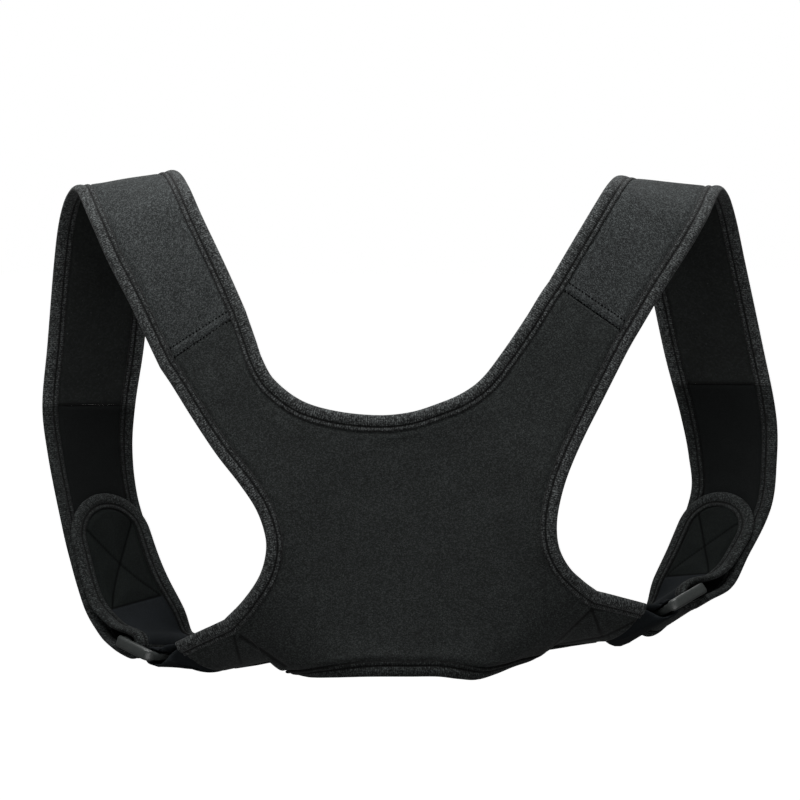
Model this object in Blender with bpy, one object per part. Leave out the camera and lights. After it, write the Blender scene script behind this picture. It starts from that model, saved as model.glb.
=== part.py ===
"""Posture corrector in its worn form: a padded back panel, two shoulder straps and two underarm rings."""

import math

import bmesh
import bpy
from mathutils import Vector

# Sizes that the tables below are shares of, in metres.
HALF_WIDTH = 0.22
LOOP_HEIGHT = 0.30
LOOP_DEPTH = 0.13
SHOULDER_FORWARD = 0.058
STRAP_WIDTH = 0.062

PADDING = 0.003
BOUND_PADDING = 0.0008
TAPE = 0.0009
TAPE_WIDTH = 0.010
TAPE_NOSE = 0.0034
RAMP = 0.003
GAP = 0.0009
SEAM_GAP = 0.0004

RING_SHORT = 0.031
RING_BAR = 0.006
RING_THICK = 0.005
RING_SIDE_BAR = 0.0055
RING_WINDOW = 0.063
RING_CORNER = 0.004
RING_CHAMFER = 0.0012
RING_CLEAR = 0.0005

TURN_RADIUS = 0.0065
TURN_CENTRE = 0.008
TURN_CLOSE = 0.050
LAYER_STEP = 0.0048
TAB_HALF = 0.0285
LOOP_BAND = 0.0016
LOOP_HALF = 0.029
LOOP_RADIUS = 0.0047
LOOP_CENTRE = 0.0108
LOOP_OUTER_LEG = 0.0033
LOOP_INNER_LEG = 0.0053
LOOP_TAIL = 0.031
LOOP_TAIL_HALF = 0.024
TIP_CUT = 0.007
PATCH = 0.0008
PATCH_HALF = 0.015
PATCH_LENGTH = 0.045

# One loop per side, from the wing over the front to the panel seam. Columns: outward, up and forward as shares of the
# half width, loop height and loop depth, then swing and dip of the across direction in degrees, then crown and width
# as shares of the strap width.
LEFT_LOOP = [
    (0.409, -0.896, 0.323, 42, -25, 0.129, 1.000),
    (0.579, -0.941, 0.492, 51, -14, 0.129, 1.000),
    (0.619, -0.947, 0.518, 50, -9, 0.000, 1.000),
    (0.660, -0.935, 0.579, 50, -8, 0.000, 1.000),
    (0.701, -0.925, 0.638, 49, -6, 0.000, 0.984),
    (0.751, -0.884, 0.715, 42, 4, 0.000, 0.968),
    (0.798, -0.828, 0.777, 36, 11, 0.000, 0.968),
    (0.843, -0.741, 0.862, 37, 6, 0.000, 0.968),
    (0.881, -0.644, 0.923, 40, 2, 0.000, 0.968),
    (0.903, -0.541, 0.958, 34, 0, 0.000, 0.968),
    (0.906, -0.448, 0.969, 24, -1, 0.000, 0.984),
    (0.884, -0.323, 0.938, 20, -1, 0.000, 1.000),
    (0.858, -0.150, 0.846, 19, 1, 0.000, 1.000),
    (0.836, -0.059, 0.754, 16, 3, 0.000, 1.000),
    (0.807, -0.002, 0.615, 13, 7, 0.000, 1.000),
    (0.771, 0.015, 0.446, 8, 10, 0.000, 1.000),
    (0.728, -0.030, 0.254, 3, 21, 0.000, 1.000),
    (0.684, -0.096, 0.162, -1, 27, 0.000, 1.000),
    (0.620, -0.187, 0.092, -3, 26, 0.000, 0.984),
    (0.553, -0.291, 0.046, -4, 34, 0.000, 0.984),
]
RIGHT_LOOP = [
    (0.433, -0.860, 0.323, 47, -39, 0.113, 1.000),
    (0.596, -0.874, 0.500, 55, -23, 0.113, 1.000),
    (0.650, -0.876, 0.533, 58, -25, 0.000, 1.000),
    (0.692, -0.862, 0.590, 58, -25, 0.000, 1.000),
    (0.735, -0.848, 0.646, 56, -22, 0.000, 0.984),
    (0.793, -0.805, 0.731, 49, -8, 0.000, 0.968),
    (0.838, -0.751, 0.808, 47, 3, 0.000, 0.968),
    (0.905, -0.645, 0.908, 40, 6, 0.000, 0.968),
    (0.912, -0.560, 0.946, 30, 2, 0.000, 0.968),
    (0.900, -0.469, 0.962, 18, 0, 0.000, 0.984),
    (0.856, -0.333, 0.931, 7, 0, 0.000, 1.000),
    (0.798, -0.150, 0.838, 12, 1, 0.000, 1.000),
    (0.767, -0.059, 0.746, 13, 2, 0.000, 1.000),
    (0.738, -0.006, 0.608, 12, 4, 0.000, 1.000),
    (0.706, 0.009, 0.446, 8, 7, 0.000, 1.000),
    (0.668, -0.022, 0.254, 3, 21, 0.000, 1.000),
    (0.624, -0.070, 0.162, -1, 29, 0.000, 1.000),
    (0.555, -0.148, 0.092, -3, 31, 0.000, 0.984),
    (0.483, -0.235, 0.046, -4, 35, 0.000, 0.984),
]
# Panel edges between the strap seam and the wing. Columns: outward, up and forward as the same shares.
LEFT_ARMHOLE = [
    (0.636, -0.382, 0.050),
    (0.582, -0.445, 0.031),
    (0.518, -0.515, 0.015),
    (0.454, -0.575, 0.000),
    (0.411, -0.624, 0.000),
    (0.388, -0.674, 0.008),
    (0.387, -0.712, 0.023),
    (0.405, -0.757, 0.054),
    (0.447, -0.805, 0.108),
]
LEFT_NECK = [
    (0.411, -0.291, 0.015),
    (0.392, -0.330, 0.000),
    (0.360, -0.369, -0.008),
    (0.288, -0.409, -0.015),
    (0.197, -0.429, -0.023),
    (0.086, -0.437, -0.027),
    (0.000, -0.431, -0.031),
]
LEFT_HEM = [
    (0.000, -0.955, 0.031),
    (0.081, -0.955, 0.031),
    (0.156, -0.958, 0.069),
    (0.214, -0.962, 0.131),
    (0.258, -0.965, 0.208),
    (0.286, -0.964, 0.292),
    (0.306, -0.963, 0.385),
]
RIGHT_ARMHOLE = [
    (0.576, -0.320, 0.050),
    (0.517, -0.405, 0.031),
    (0.458, -0.491, 0.015),
    (0.418, -0.561, 0.000),
    (0.397, -0.620, 0.000),
    (0.392, -0.664, 0.008),
    (0.401, -0.704, 0.031),
    (0.429, -0.742, 0.077),
    (0.468, -0.771, 0.131),
]
RIGHT_NECK = [
    (0.345, -0.202, 0.015),
    (0.308, -0.246, 0.000),
    (0.247, -0.312, -0.008),
    (0.191, -0.365, -0.015),
    (0.138, -0.394, -0.023),
    (0.071, -0.415, -0.027),
    (0.000, -0.431, -0.031),
]
RIGHT_HEM = [
    (0.000, -0.955, 0.031),
    (0.075, -0.955, 0.031),
    (0.129, -0.961, 0.054),
    (0.175, -0.965, 0.100),
    (0.222, -0.957, 0.162),
    (0.266, -0.947, 0.238),
    (0.314, -0.939, 0.331),
]

# Where things sit on each loop, as table rows counted from the wing.
WING_TIP_ROW = 1.0
RING_ROW = 3
SIDES = {
    "left": {
        "side": -1,
        "loop": LEFT_LOOP,
        "armhole": LEFT_ARMHOLE,
        "neck": LEFT_NECK,
        "hem": LEFT_HEM,
        "front_seam": 10.0,
        "tab_tip": 8.1,
    },
    "right": {
        "side": 1,
        "loop": RIGHT_LOOP,
        "armhole": RIGHT_ARMHOLE,
        "neck": RIGHT_NECK,
        "hem": RIGHT_HEM,
        "front_seam": 9.5,
        "tab_tip": 7.15,
    },
}

NECK_STEPS = 11
CENTRE_STEPS = 7
HEM_STEPS = 13
WING_STEPS = 4
ARMHOLE_AT_NECK_END = 0.52
ARMHOLE_AT_HEM_START = 0.80
INNER_STEPS = 4
STRAP_STEPS_PER_ROW = 2
LEG_STEP = 0.0088
TURN_STEPS = 8
TAB_END_ANGLES = (22, 42, 60, 76)
LOOKUP_STEPS_PER_ROW = 24
SLOPE_ROWS = 0.02
TAB_BLEND_STATIONS = 8
TAB_BLEND_LEAD = 2
RING_CORNER_STEPS = 2
LOOP_TURN_STEPS = 6
LOOP_COLUMNS = (-1.0, -0.5, 0.0, 0.5, 1.0)
MERGE_STEPS_PER_METRE = 20000
MERGE_REACH = 0.00001


def clear_scene():
    for item in list(bpy.data.objects):
        bpy.data.objects.remove(item, do_unlink=True)


def make_material(name, color, roughness):
    material = bpy.data.materials.new(name)
    material.use_nodes = True
    shader = material.node_tree.nodes["Principled BSDF"]
    shader.inputs["Base Color"].default_value = (*color, 1.0)
    shader.inputs["Roughness"].default_value = roughness
    return material


def make_padding_material():
    return make_material("padding_cloth", (0.014, 0.015, 0.015), 0.85)


def make_tape_material():
    return make_material("edge_tape", (0.022, 0.023, 0.023), 0.9)


def make_ring_material():
    return make_material("ring_plastic", (0.03, 0.033, 0.032), 0.4)


def make_webbing_material():
    return make_material("loop_band", (0.012, 0.013, 0.014), 0.85)


def make_hook_material():
    return make_material("hook_pad", (0.01, 0.01, 0.01), 0.7)


def place(shares, side):
    out, up, forward = shares
    return Vector((side * out * HALF_WIDTH, forward * LOOP_DEPTH - SHOULDER_FORWARD, up * LOOP_HEIGHT))


def knots_of(points):
    """Root chord lengths, which keep a curve through uneven points free of loops."""
    knots = [0.0]
    for before, after in zip(points, points[1:]):
        knots.append(knots[-1] + math.sqrt((after - before).length))
    return knots


def through(values, knots, where):
    """Value of the smooth curve through all values at a place counted in rows."""
    last = len(values) - 1
    row = min(max(int(where), 0), last - 1)
    share = where - row
    span = knots[row + 1] - knots[row]
    low = max(row - 1, 0)
    high = min(row + 2, last)
    slope_in = (values[row + 1] - values[low]) / (knots[row + 1] - knots[low]) * span
    slope_out = (values[high] - values[row]) / (knots[high] - knots[row]) * span
    square = share * share
    cube = square * share
    return (
        values[row] * (2 * cube - 3 * square + 1)
        + slope_in * (cube - 2 * square + share)
        + values[row + 1] * (3 * square - 2 * cube)
        + slope_out * (cube - square)
    )


def ease(share):
    share = min(max(share, 0.0), 1.0)
    return share * share * (3 - 2 * share)


class Loop:
    """Arm loop of one side, addressed by length along it, distance towards the neck edge and height towards the body."""

    def __init__(self, side, rows):
        self.side = side
        self.centres = [place(row[:3], side) for row in rows]
        self.across = [self.across_of(row[3], row[4]) for row in rows]
        self.straighten_at_ring()
        self.knots = knots_of(self.centres)
        self.crowns = [row[5] * STRAP_WIDTH for row in rows]
        self.halves = [row[6] * STRAP_WIDTH / 2 for row in rows]
        steps = (len(rows) - 1) * LOOKUP_STEPS_PER_ROW
        self.places = [step / LOOKUP_STEPS_PER_ROW for step in range(steps + 1)]
        self.lengths = [0.0]
        points = [self.curve(self.centres, place_) for place_ in self.places]
        for before, after in zip(points, points[1:]):
            self.lengths.append(self.lengths[-1] + (after - before).length)

    def straighten_at_ring(self):
        """The loop runs straight through the rigid ring, from just before it to just behind it."""
        ring = self.centres[RING_ROW]
        along = (self.centres[RING_ROW + 1] - self.centres[RING_ROW - 1]).normalized()
        across = self.across[RING_ROW]
        across = (across - along * across.dot(along)).normalized()
        for row in (RING_ROW - 1, RING_ROW, RING_ROW + 1):
            self.centres[row] = ring + along * (row - RING_ROW) * (RING_SHORT / 2 + RING_CLEAR)
            self.across[row] = across

    def across_of(self, swing, rise):
        swing = math.radians(swing)
        rise = math.radians(rise)
        flat = math.cos(rise)
        return Vector((-self.side * math.cos(swing) * flat, math.sin(swing) * flat, math.sin(rise)))

    def curve(self, values, where):
        return through(values, self.knots, where)

    def length_at(self, where):
        step = min(int(where * LOOKUP_STEPS_PER_ROW), len(self.lengths) - 2)
        share = where * LOOKUP_STEPS_PER_ROW - step
        return self.lengths[step] + share * (self.lengths[step + 1] - self.lengths[step])

    def row_at(self, length):
        step = 0
        while step < len(self.lengths) - 2 and self.lengths[step + 1] < length:
            step += 1
        span = self.lengths[step + 1] - self.lengths[step]
        return (step + (length - self.lengths[step]) / span) / LOOKUP_STEPS_PER_ROW

    def frame(self, where):
        """Centre, along, across and inward directions, half width and crown at a row count."""
        low = max(where - SLOPE_ROWS, 0.0)
        high = min(where + SLOPE_ROWS, len(self.centres) - 1)
        along = (self.curve(self.centres, high) - self.curve(self.centres, low)).normalized()
        across = self.curve(self.across, where).normalized()
        inward = (along.cross(across) * self.side).normalized()
        half = self.curve(self.halves, where)
        crown = max(self.curve(self.crowns, where), 0.0)
        return self.curve(self.centres, where), along, across, inward, half, crown

    def point(self, where, across_by, inward_by):
        centre, _, across, inward, half, crown = self.frame(where)
        share = across_by / half
        bulge = crown * (1 - share * share)
        return centre + across * across_by + inward * (inward_by - bulge)

    def at_length(self, length, across_by, inward_by):
        return self.point(self.row_at(length), across_by, inward_by)

    def half_at(self, where):
        return self.curve(self.halves, where)


def new_grid(rows, columns):
    """Flat grid mesh and its vertices by row and column."""
    mesh = bmesh.new()
    bmesh.ops.create_grid(mesh, x_segments=columns - 1, y_segments=rows - 1, size=0.5)
    vertices = {}
    for vertex in mesh.verts:
        column = round((vertex.co.x + 0.5) * (columns - 1))
        row = round((vertex.co.y + 0.5) * (rows - 1))
        vertices[row, column] = vertex
    return mesh, vertices


def finish(name, mesh, material):
    """Turns a closed mesh into the named object."""
    bmesh.ops.recalc_face_normals(mesh, faces=mesh.faces)
    data = bpy.data.meshes.new(name)
    mesh.to_mesh(data)
    mesh.free()
    data.materials.append(material)
    item = bpy.data.objects.new(name, data)
    bpy.context.scene.collection.objects.link(item)
    return item


def swept_body(name, sections, material):
    """Closed body through a row of equal closed sections."""
    rows = len(sections)
    columns = len(sections[0]) + 1
    mesh, vertices = new_grid(rows, columns)
    for (row, column), vertex in vertices.items():
        vertex.co = sections[row][column % (columns - 1)]
    bmesh.ops.remove_doubles(mesh, verts=mesh.verts, dist=MERGE_REACH)
    bmesh.ops.holes_fill(mesh, edges=mesh.edges, sides=0)
    return finish(name, mesh, material)


def two_faced_body(name, points, material):
    """Closed body between an outer and an inner layer of points, given for each row and column."""
    rows = len(points)
    columns = len(points[0])
    mesh, vertices = new_grid(rows, columns)
    keys = {}
    for (row, column), vertex in vertices.items():
        vertex.co = points[row][column][0]
        keys[tuple(vertex.co)] = (row, column)
    made = bmesh.ops.extrude_face_region(mesh, geom=list(mesh.faces))
    for item in made["geom"]:
        if isinstance(item, bmesh.types.BMVert):
            row, column = keys[tuple(item.co)]
            item.co = points[row][column][1]
    return finish(name, mesh, material)


def padding_half(from_edge):
    """Half thickness of the padding at a distance from the outline: thin under the tape, full beyond it."""
    share = (from_edge - TAPE_WIDTH - GAP) / RAMP
    return (BOUND_PADDING + (PADDING - BOUND_PADDING) * ease(share)) / 2


def border_distances():
    return (TAPE + GAP, TAPE_WIDTH + GAP, TAPE_WIDTH + GAP + RAMP)


def tape_section():
    """Section of the folded tape: distance from the outline and height, outside first."""
    inner = BOUND_PADDING / 2 + GAP
    outer = inner + TAPE
    return [
        (TAPE_WIDTH, outer),
        (0.0, TAPE_NOSE / 2),
        (0.0, -TAPE_NOSE / 2),
        (TAPE_WIDTH, -outer),
        (TAPE_WIDTH, -inner),
        (TAPE, -inner),
        (TAPE, inner),
        (TAPE_WIDTH, inner),
    ]


def strap_columns(half):
    """Across positions of the padding columns of a strap, with their distances from the outline."""
    near = [(half - distance, distance) for distance in border_distances()]
    return [(-place_, distance) for place_, distance in near] + list(reversed(near))


def strap_rows(first, last):
    count = math.ceil((last - first) * STRAP_STEPS_PER_ROW)
    return [first + (last - first) * step / count for step in range(count + 1)]


def make_shoulder_strap(name, loop, front_seam, material):
    start = loop.row_at(loop.length_at(front_seam) + SEAM_GAP)
    end = loop.row_at(loop.lengths[-1] - SEAM_GAP)
    points = []
    for where in [start, *strap_rows(front_seam, len(loop.centres) - 1.0)[1:-1], end]:
        line = []
        for across_by, distance in strap_columns(loop.half_at(where)):
            half = padding_half(distance)
            line.append((loop.point(where, across_by, -half), loop.point(where, across_by, half)))
        points.append(line)
    return two_faced_body(name, points, material)


def strap_tape_sections(loop, rows, edge):
    """Tape sections along a strap. Edge is 1 for the neck side and -1 for the arm side."""
    sections = []
    for where in rows:
        half = loop.half_at(where)
        sections.append([loop.point(where, edge * (half - inset), height) for inset, height in tape_section()])
    return sections


class PanelHalf:
    """One half of the back panel, as rows from the armhole edge to the neck edge, centre line or hem edge."""

    def __init__(self, loop, tables, other_tables):
        self.loop = loop
        side = loop.side
        seam = len(loop.centres) - 1.0
        arm_start = loop.point(seam, -loop.half_at(seam), 0.0)
        neck_start = loop.point(seam, loop.half_at(seam), 0.0)
        arm_end = loop.point(0.0, -loop.half_at(0.0), 0.0)
        hem_end = loop.point(0.0, loop.half_at(0.0), 0.0)
        self.armhole = [arm_start] + [place(row, side) for row in tables["armhole"]] + [arm_end]
        self.neck = [neck_start] + [place(row, side) for row in tables["neck"]]
        self.neck_full = [*self.neck, place(other_tables["neck"][-2], -side)]
        self.hem = [place(row, side) for row in tables["hem"]] + [hem_end]
        self.hem_full = [place(other_tables["hem"][1], -side), *self.hem]
        self.centre_way = (self.hem[0] - self.neck[-1]).normalized()
        self.rows = []
        self.build_rows()

    def on(self, points, share, skip_first=0, skip_last=0):
        knots = knots_of(points)
        first = skip_first
        last = len(points) - 1 - skip_last
        target = knots[first] + share * (knots[last] - knots[first])
        row = first
        while row < last - 1 and knots[row + 1] < target:
            row += 1
        where = row + (target - knots[row]) / (knots[row + 1] - knots[row])
        return through(points, knots, where)

    def build_rows(self):
        seam = len(self.loop.centres) - 1.0
        self.rows.append(("band", seam))
        for step in range(1, NECK_STEPS + 1):
            share = step / NECK_STEPS
            neck = self.on(self.neck_full, share, 0, 1)
            self.rows.append(("neck", self.on(self.armhole, share * ARMHOLE_AT_NECK_END), neck, share))
        top = self.on(self.neck_full, 1.0, 0, 1)
        bottom = self.on(self.hem_full, 0.0, 1, 0)
        border = border_distances()[-1]
        low = top + self.centre_way * border
        high = bottom - self.centre_way * border
        span = ARMHOLE_AT_HEM_START - ARMHOLE_AT_NECK_END
        for step in range(1, CENTRE_STEPS):
            share = step / CENTRE_STEPS
            arm = self.on(self.armhole, ARMHOLE_AT_NECK_END + share * span)
            self.rows.append(("centre", arm, low.lerp(high, share), share))
        for step in range(HEM_STEPS):
            share = step / HEM_STEPS
            arm = self.on(self.armhole, ARMHOLE_AT_HEM_START + share * (1 - ARMHOLE_AT_HEM_START))
            self.rows.append(("hem", arm, self.on(self.hem_full, share, 1, 0), share))
        tip = self.loop.row_at(self.loop.length_at(WING_TIP_ROW) - TIP_CUT)
        for step in range(WING_STEPS + 1):
            self.rows.append(("band", tip * step / WING_STEPS))

    def rail(self, index, end):
        row = self.rows[index]
        if row[0] == "band":
            half = self.loop.half_at(row[1])
            return self.loop.point(row[1], half if end else -half, 0.0)
        return row[2] if end else row[1]

    def crown(self, index):
        row = self.rows[index]
        if row[0] == "hem":
            return self.loop.crowns[0] * ease(row[3]) ** 2
        return 0.0

    def edge_frame(self, index, end):
        """Outline point, inward direction along the sheet and direction towards the body."""
        here = self.rail(index, end)
        other = self.rail(index, 1 - end)
        low = max(index - 1, 0)
        high = min(index + 1, len(self.rows) - 1)
        kind = self.rows[index][0]
        if end and kind != "band" and here.x == 0.0:
            inward_sheet = self.centre_way if kind == "neck" else -self.centre_way
            return here, inward_sheet, Vector((0, -self.centre_way.z, self.centre_way.y))
        tangent = (self.rail(high, end) - self.rail(low, end)).normalized()
        across = other - here
        inward_sheet = (across - tangent * across.dot(tangent)).normalized()
        normal = tangent.cross(inward_sheet).normalized()
        if kind == "band":
            _, _, span, body, _, _ = self.loop.frame(self.rows[index][1])
            return here, span if end == 0 else -span, body
        if normal.dot(self.body_side(index)) < 0:
            normal = -normal
        if kind == "hem":
            _, _, span, body, _, _ = self.loop.frame(0.0)
            turn = self.rows[index][3] ** 3
            inward_sheet = inward_sheet.lerp(-span if end else span, turn).normalized()
            normal = normal.lerp(body, turn).normalized()
        return here, inward_sheet, normal

    def body_side(self, index):
        """Rough direction towards the body at a row."""
        row = self.rows[index]
        if row[0] == "hem":
            _, _, _, body, _, _ = self.loop.frame(0.0)
            return Vector((0, 1, 0)).lerp(body, ease(row[3]))
        return Vector((0, 1, 0))

    def edge_point(self, index, end, inset, height):
        row = self.rows[index]
        if row[0] == "band":
            half = self.loop.half_at(row[1])
            across_by = (half - inset) if end else (inset - half)
            return self.loop.point(row[1], across_by, height)
        here, inward_sheet, normal = self.edge_frame(index, end)
        length = (self.rail(index, 1) - self.rail(index, 0)).length
        share = inset / length
        bulge = self.crown(index) * 4 * share * (1 - share)
        return here + inward_sheet * inset + normal * (height - bulge)

    def bound_end(self, index):
        return self.rows[index][0] != "centre"

    def tape_rows(self, end, first, last):
        return [
            [self.edge_point(index, end, inset, height) for inset, height in tape_section()]
            for index in range(first, last)
        ]

    def middle(self, index, share):
        """Point of the middle surface between the two bordered edges, with its direction towards the body."""
        border = border_distances()[-1]
        row = self.rows[index]
        if row[0] == "band":
            reach = self.loop.half_at(row[1]) - border
            _, _, _, body, _, _ = self.loop.frame(row[1])
            return self.loop.point(row[1], reach * (2 * share - 1), 0.0), body
        start = self.edge_point(index, 0, border, 0.0)
        _, _, normal_start = self.edge_frame(index, 0)
        if row[0] == "centre":
            stop = row[2]
            normal_stop = Vector((0, 1, 0))
        else:
            stop = self.edge_point(index, 1, border, 0.0)
            _, _, normal_stop = self.edge_frame(index, 1)
        length = (self.rail(index, 1) - self.rail(index, 0)).length
        normal = normal_start.lerp(normal_stop, share).normalized()
        rim = border / length
        inner = rim + share * (1 - 2 * rim)
        bulge = self.crown(index) * 4 * (inner * (1 - inner) - rim * (1 - rim))
        return start.lerp(stop, share) - normal * bulge, normal


def panel_patches(half):
    """Quads of one half as lists of four (place, direction, half thickness) corners."""
    corners = {}
    count = len(half.rows)
    for index in range(count):
        for end in (0, 1):
            if end and not half.bound_end(index):
                continue
            _, _, normal = half.edge_frame(index, end)
            for step, distance in enumerate(border_distances()[:2]):
                point = half.edge_point(index, end, distance, 0.0)
                key = step if end == 0 else INNER_STEPS + 4 - step
                corners[index, key] = (point, normal, padding_half(distance))
        for step in range(INNER_STEPS + 1):
            point, normal = half.middle(index, step / INNER_STEPS)
            corners[index, step + 2] = (point, normal, PADDING / 2)
    quads = []
    for index in range(count - 1):
        for column in range(INNER_STEPS + 4):
            keys = [(index, column), (index, column + 1), (index + 1, column + 1), (index + 1, column)]
            if all(key in corners for key in keys):
                quads.append([corners[key] for key in keys])
    return quads


def make_back_panel(name, halves, material):
    """Joins the quads of both halves into one sheet and gives it its thickness."""
    mesh = bmesh.new()
    normals = {}
    found = {}

    def vertex_at(corner):
        point, normal, thickness = corner
        key = tuple(round(value * MERGE_STEPS_PER_METRE) for value in point)
        if key not in found:
            made = bmesh.ops.create_vert(mesh, co=point)["vert"][0]
            found[key] = made
            normals[key] = [Vector(), thickness, point]
        normals[key][0] += normal
        return found[key]

    for half in halves:
        for quad in panel_patches(half):
            vertices = [vertex_at(corner) for corner in quad]
            if half.loop.side < 0:
                vertices.reverse()
            if len(set(vertices)) > 2:
                unique = list(dict.fromkeys(vertices))
                mesh.faces.new(unique)
    outer = {}
    for key, vertex in found.items():
        direction, thickness, point = normals[key]
        direction.normalize()
        vertex.co = point - direction * thickness
        outer[tuple(vertex.co)] = point + direction * thickness
    made = bmesh.ops.extrude_face_region(mesh, geom=list(mesh.faces))
    for item in made["geom"]:
        if isinstance(item, bmesh.types.BMVert):
            item.co = outer[tuple(item.co)]
    return finish(name, mesh, material)


def make_neck_binding(loops, halves, material):
    sections = []
    for name in ("left", "right"):
        loop = loops[name]
        front = SIDES[name]["front_seam"]
        start = loop.row_at(loop.length_at(front) + SEAM_GAP)
        rows = [start, *strap_rows(front, len(loop.centres) - 1.0)[1:]]
        part = strap_tape_sections(loop, rows, 1)
        part += halves[name].tape_rows(1, 1, NECK_STEPS + 1)
        if name == "right":
            part.reverse()
            part = part[1:]
        sections += part
    return swept_body("neck_binding", sections, material)


def make_hem_binding(halves, material):
    sections = []
    first = NECK_STEPS + CENTRE_STEPS
    for name in ("left", "right"):
        half = halves[name]
        part = half.tape_rows(1, first, len(half.rows))
        if name == "left":
            part.reverse()
        else:
            part = part[1:]
        sections += part
    return swept_body("hem_binding", sections, material)


def make_armhole_binding(name, loop, half, front, material):
    start = loop.row_at(loop.length_at(front) + SEAM_GAP)
    rows = [start, *strap_rows(front, len(loop.centres) - 1.0)[1:]]
    sections = strap_tape_sections(loop, rows, -1)
    sections += half.tape_rows(0, 1, len(half.rows))
    return swept_body(name, sections, material)


def leg_lengths(start, stop):
    count = max(2, round(abs(stop - start) / LEG_STEP))
    return [start + (stop - start) * step / count for step in range(count + 1)]


def strap_path(loop, front, tab_tip):
    """Middle line of the folded strap end as (length, height, along length, along height), down, round and up."""
    ring = loop.length_at(RING_ROW)
    turn = ring + TURN_CENTRE
    straight = ring + RING_SHORT / 2

    def outer_height(length):
        return -TURN_RADIUS * (1 - ease((length - straight) / TURN_CLOSE))

    def inner_height(length):
        share = ease((length - straight) / TURN_CLOSE)
        return outer_height(length) + 2 * TURN_RADIUS + (LAYER_STEP - 2 * TURN_RADIUS) * share

    stations = [(length, outer_height(length)) for length in leg_lengths(loop.length_at(front) - SEAM_GAP, turn)]
    for step in range(1, TURN_STEPS):
        angle = math.pi * step / TURN_STEPS
        stations.append((turn - TURN_RADIUS * math.sin(angle), -TURN_RADIUS * math.cos(angle)))
    end = loop.length_at(tab_tip) - TAB_HALF
    stations += [(length, inner_height(length)) for length in leg_lengths(turn, end)]
    tab_start = len(stations) - 1
    for angle in TAB_END_ANGLES:
        length = end + TAB_HALF * math.sin(math.radians(angle))
        stations.append((length, inner_height(length)))
    path = []
    for index, (length, height) in enumerate(stations):
        low = stations[max(index - 1, 0)]
        high = stations[min(index + 1, len(stations) - 1)]
        size = math.hypot(high[0] - low[0], high[1] - low[1])
        path.append((length, height, (high[0] - low[0]) / size, (high[1] - low[1]) / size))
    return path, tab_start


def strap_place(loop, station, across_by, lift, onward=0.0):
    """Point beside the folded strap: lift is towards the body on the outer leg."""
    length, height, run, climb = station
    return loop.at_length(
        length + climb * lift + run * onward, across_by, height - run * lift + climb * onward
    )


def tab_share(path, tab_start, loop, index, shrink):
    """Half width at a station, and how far the end arc is shortened there."""
    if index <= tab_start:
        blend = 0.0
        if path[index][2] > 0:
            blend = ease((index - tab_start + TAB_BLEND_STATIONS + TAB_BLEND_LEAD) / TAB_BLEND_STATIONS)
        half = loop.half_at(loop.row_at(path[index][0]))
        return half + (TAB_HALF - half) * blend - shrink, 0.0
    angle = math.radians(TAB_END_ANGLES[index - tab_start - 1])
    return (TAB_HALF - shrink) * math.cos(angle), -shrink * math.sin(angle)


def make_underarm_strap(name, loop, path, tab_start, material):
    points = []
    for index, station in enumerate(path):
        distances = border_distances()
        half, onward = tab_share(path, tab_start, loop, index, distances[0])
        line = []
        steps = [(half, distances[0])]
        for distance in distances[1:]:
            scale = (TAB_HALF - distance) / (TAB_HALF - distances[0])
            inset = half - (distance - distances[0]) if index <= tab_start else half * scale
            steps.append((inset, distance))
        angle = 0.0
        if index > tab_start:
            angle = math.radians(TAB_END_ANGLES[index - tab_start - 1])
        for across_by, distance in [(-value, gap) for value, gap in steps] + list(reversed(steps)):
            reach = TAB_HALF - math.hypot(across_by, TAB_HALF * math.sin(angle)) if angle else distance
            thick = padding_half(max(reach, 0.0)) if angle else padding_half(distance)
            low = strap_place(loop, station, across_by, -thick, onward)
            high = strap_place(loop, station, across_by, thick, onward)
            line.append((low, high))
        points.append(line)
    return two_faced_body(name, points, material)


def make_underarm_binding(name, loop, path, tab_start, material):
    sections = []
    edge_rows = list(range(len(path)))
    for edge, order in ((-1, edge_rows), (1, list(reversed(edge_rows)))):
        for index in order:
            section = []
            for inset, height in tape_section():
                half, onward = tab_share(path, tab_start, loop, index, inset)
                section.append(strap_place(loop, path[index], edge * half, height, onward))
            sections.append(section)
    return swept_body(name, sections, material)


def make_hook_patch(name, loop, tab_tip, material):
    end = loop.length_at(tab_tip) - TAB_HALF
    height = LAYER_STEP / 2
    points = []
    for length in leg_lengths(end - PATCH_LENGTH, end):
        line = []
        for across_by in (-PATCH_HALF, 0.0, PATCH_HALF):
            low = loop.at_length(length, across_by, height - PATCH / 2)
            high = loop.at_length(length, across_by, height + PATCH / 2)
            line.append((low, high))
        points.append(line)
    return two_faced_body(name, points, material)


def ring_outline(half_short, half_long, corner):
    """Rounded rectangle as (short way, long way) points."""
    points = []
    for quarter in range(4):
        sign_short = (1, -1, -1, 1)[quarter]
        sign_long = (1, 1, -1, -1)[quarter]
        for step in range(RING_CORNER_STEPS + 1):
            angle = math.pi / 2 * (quarter + step / RING_CORNER_STEPS)
            points.append(
                (
                    sign_short * (half_short - corner) + corner * math.cos(angle),
                    sign_long * (half_long - corner) + corner * math.sin(angle),
                )
            )
    return points


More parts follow.
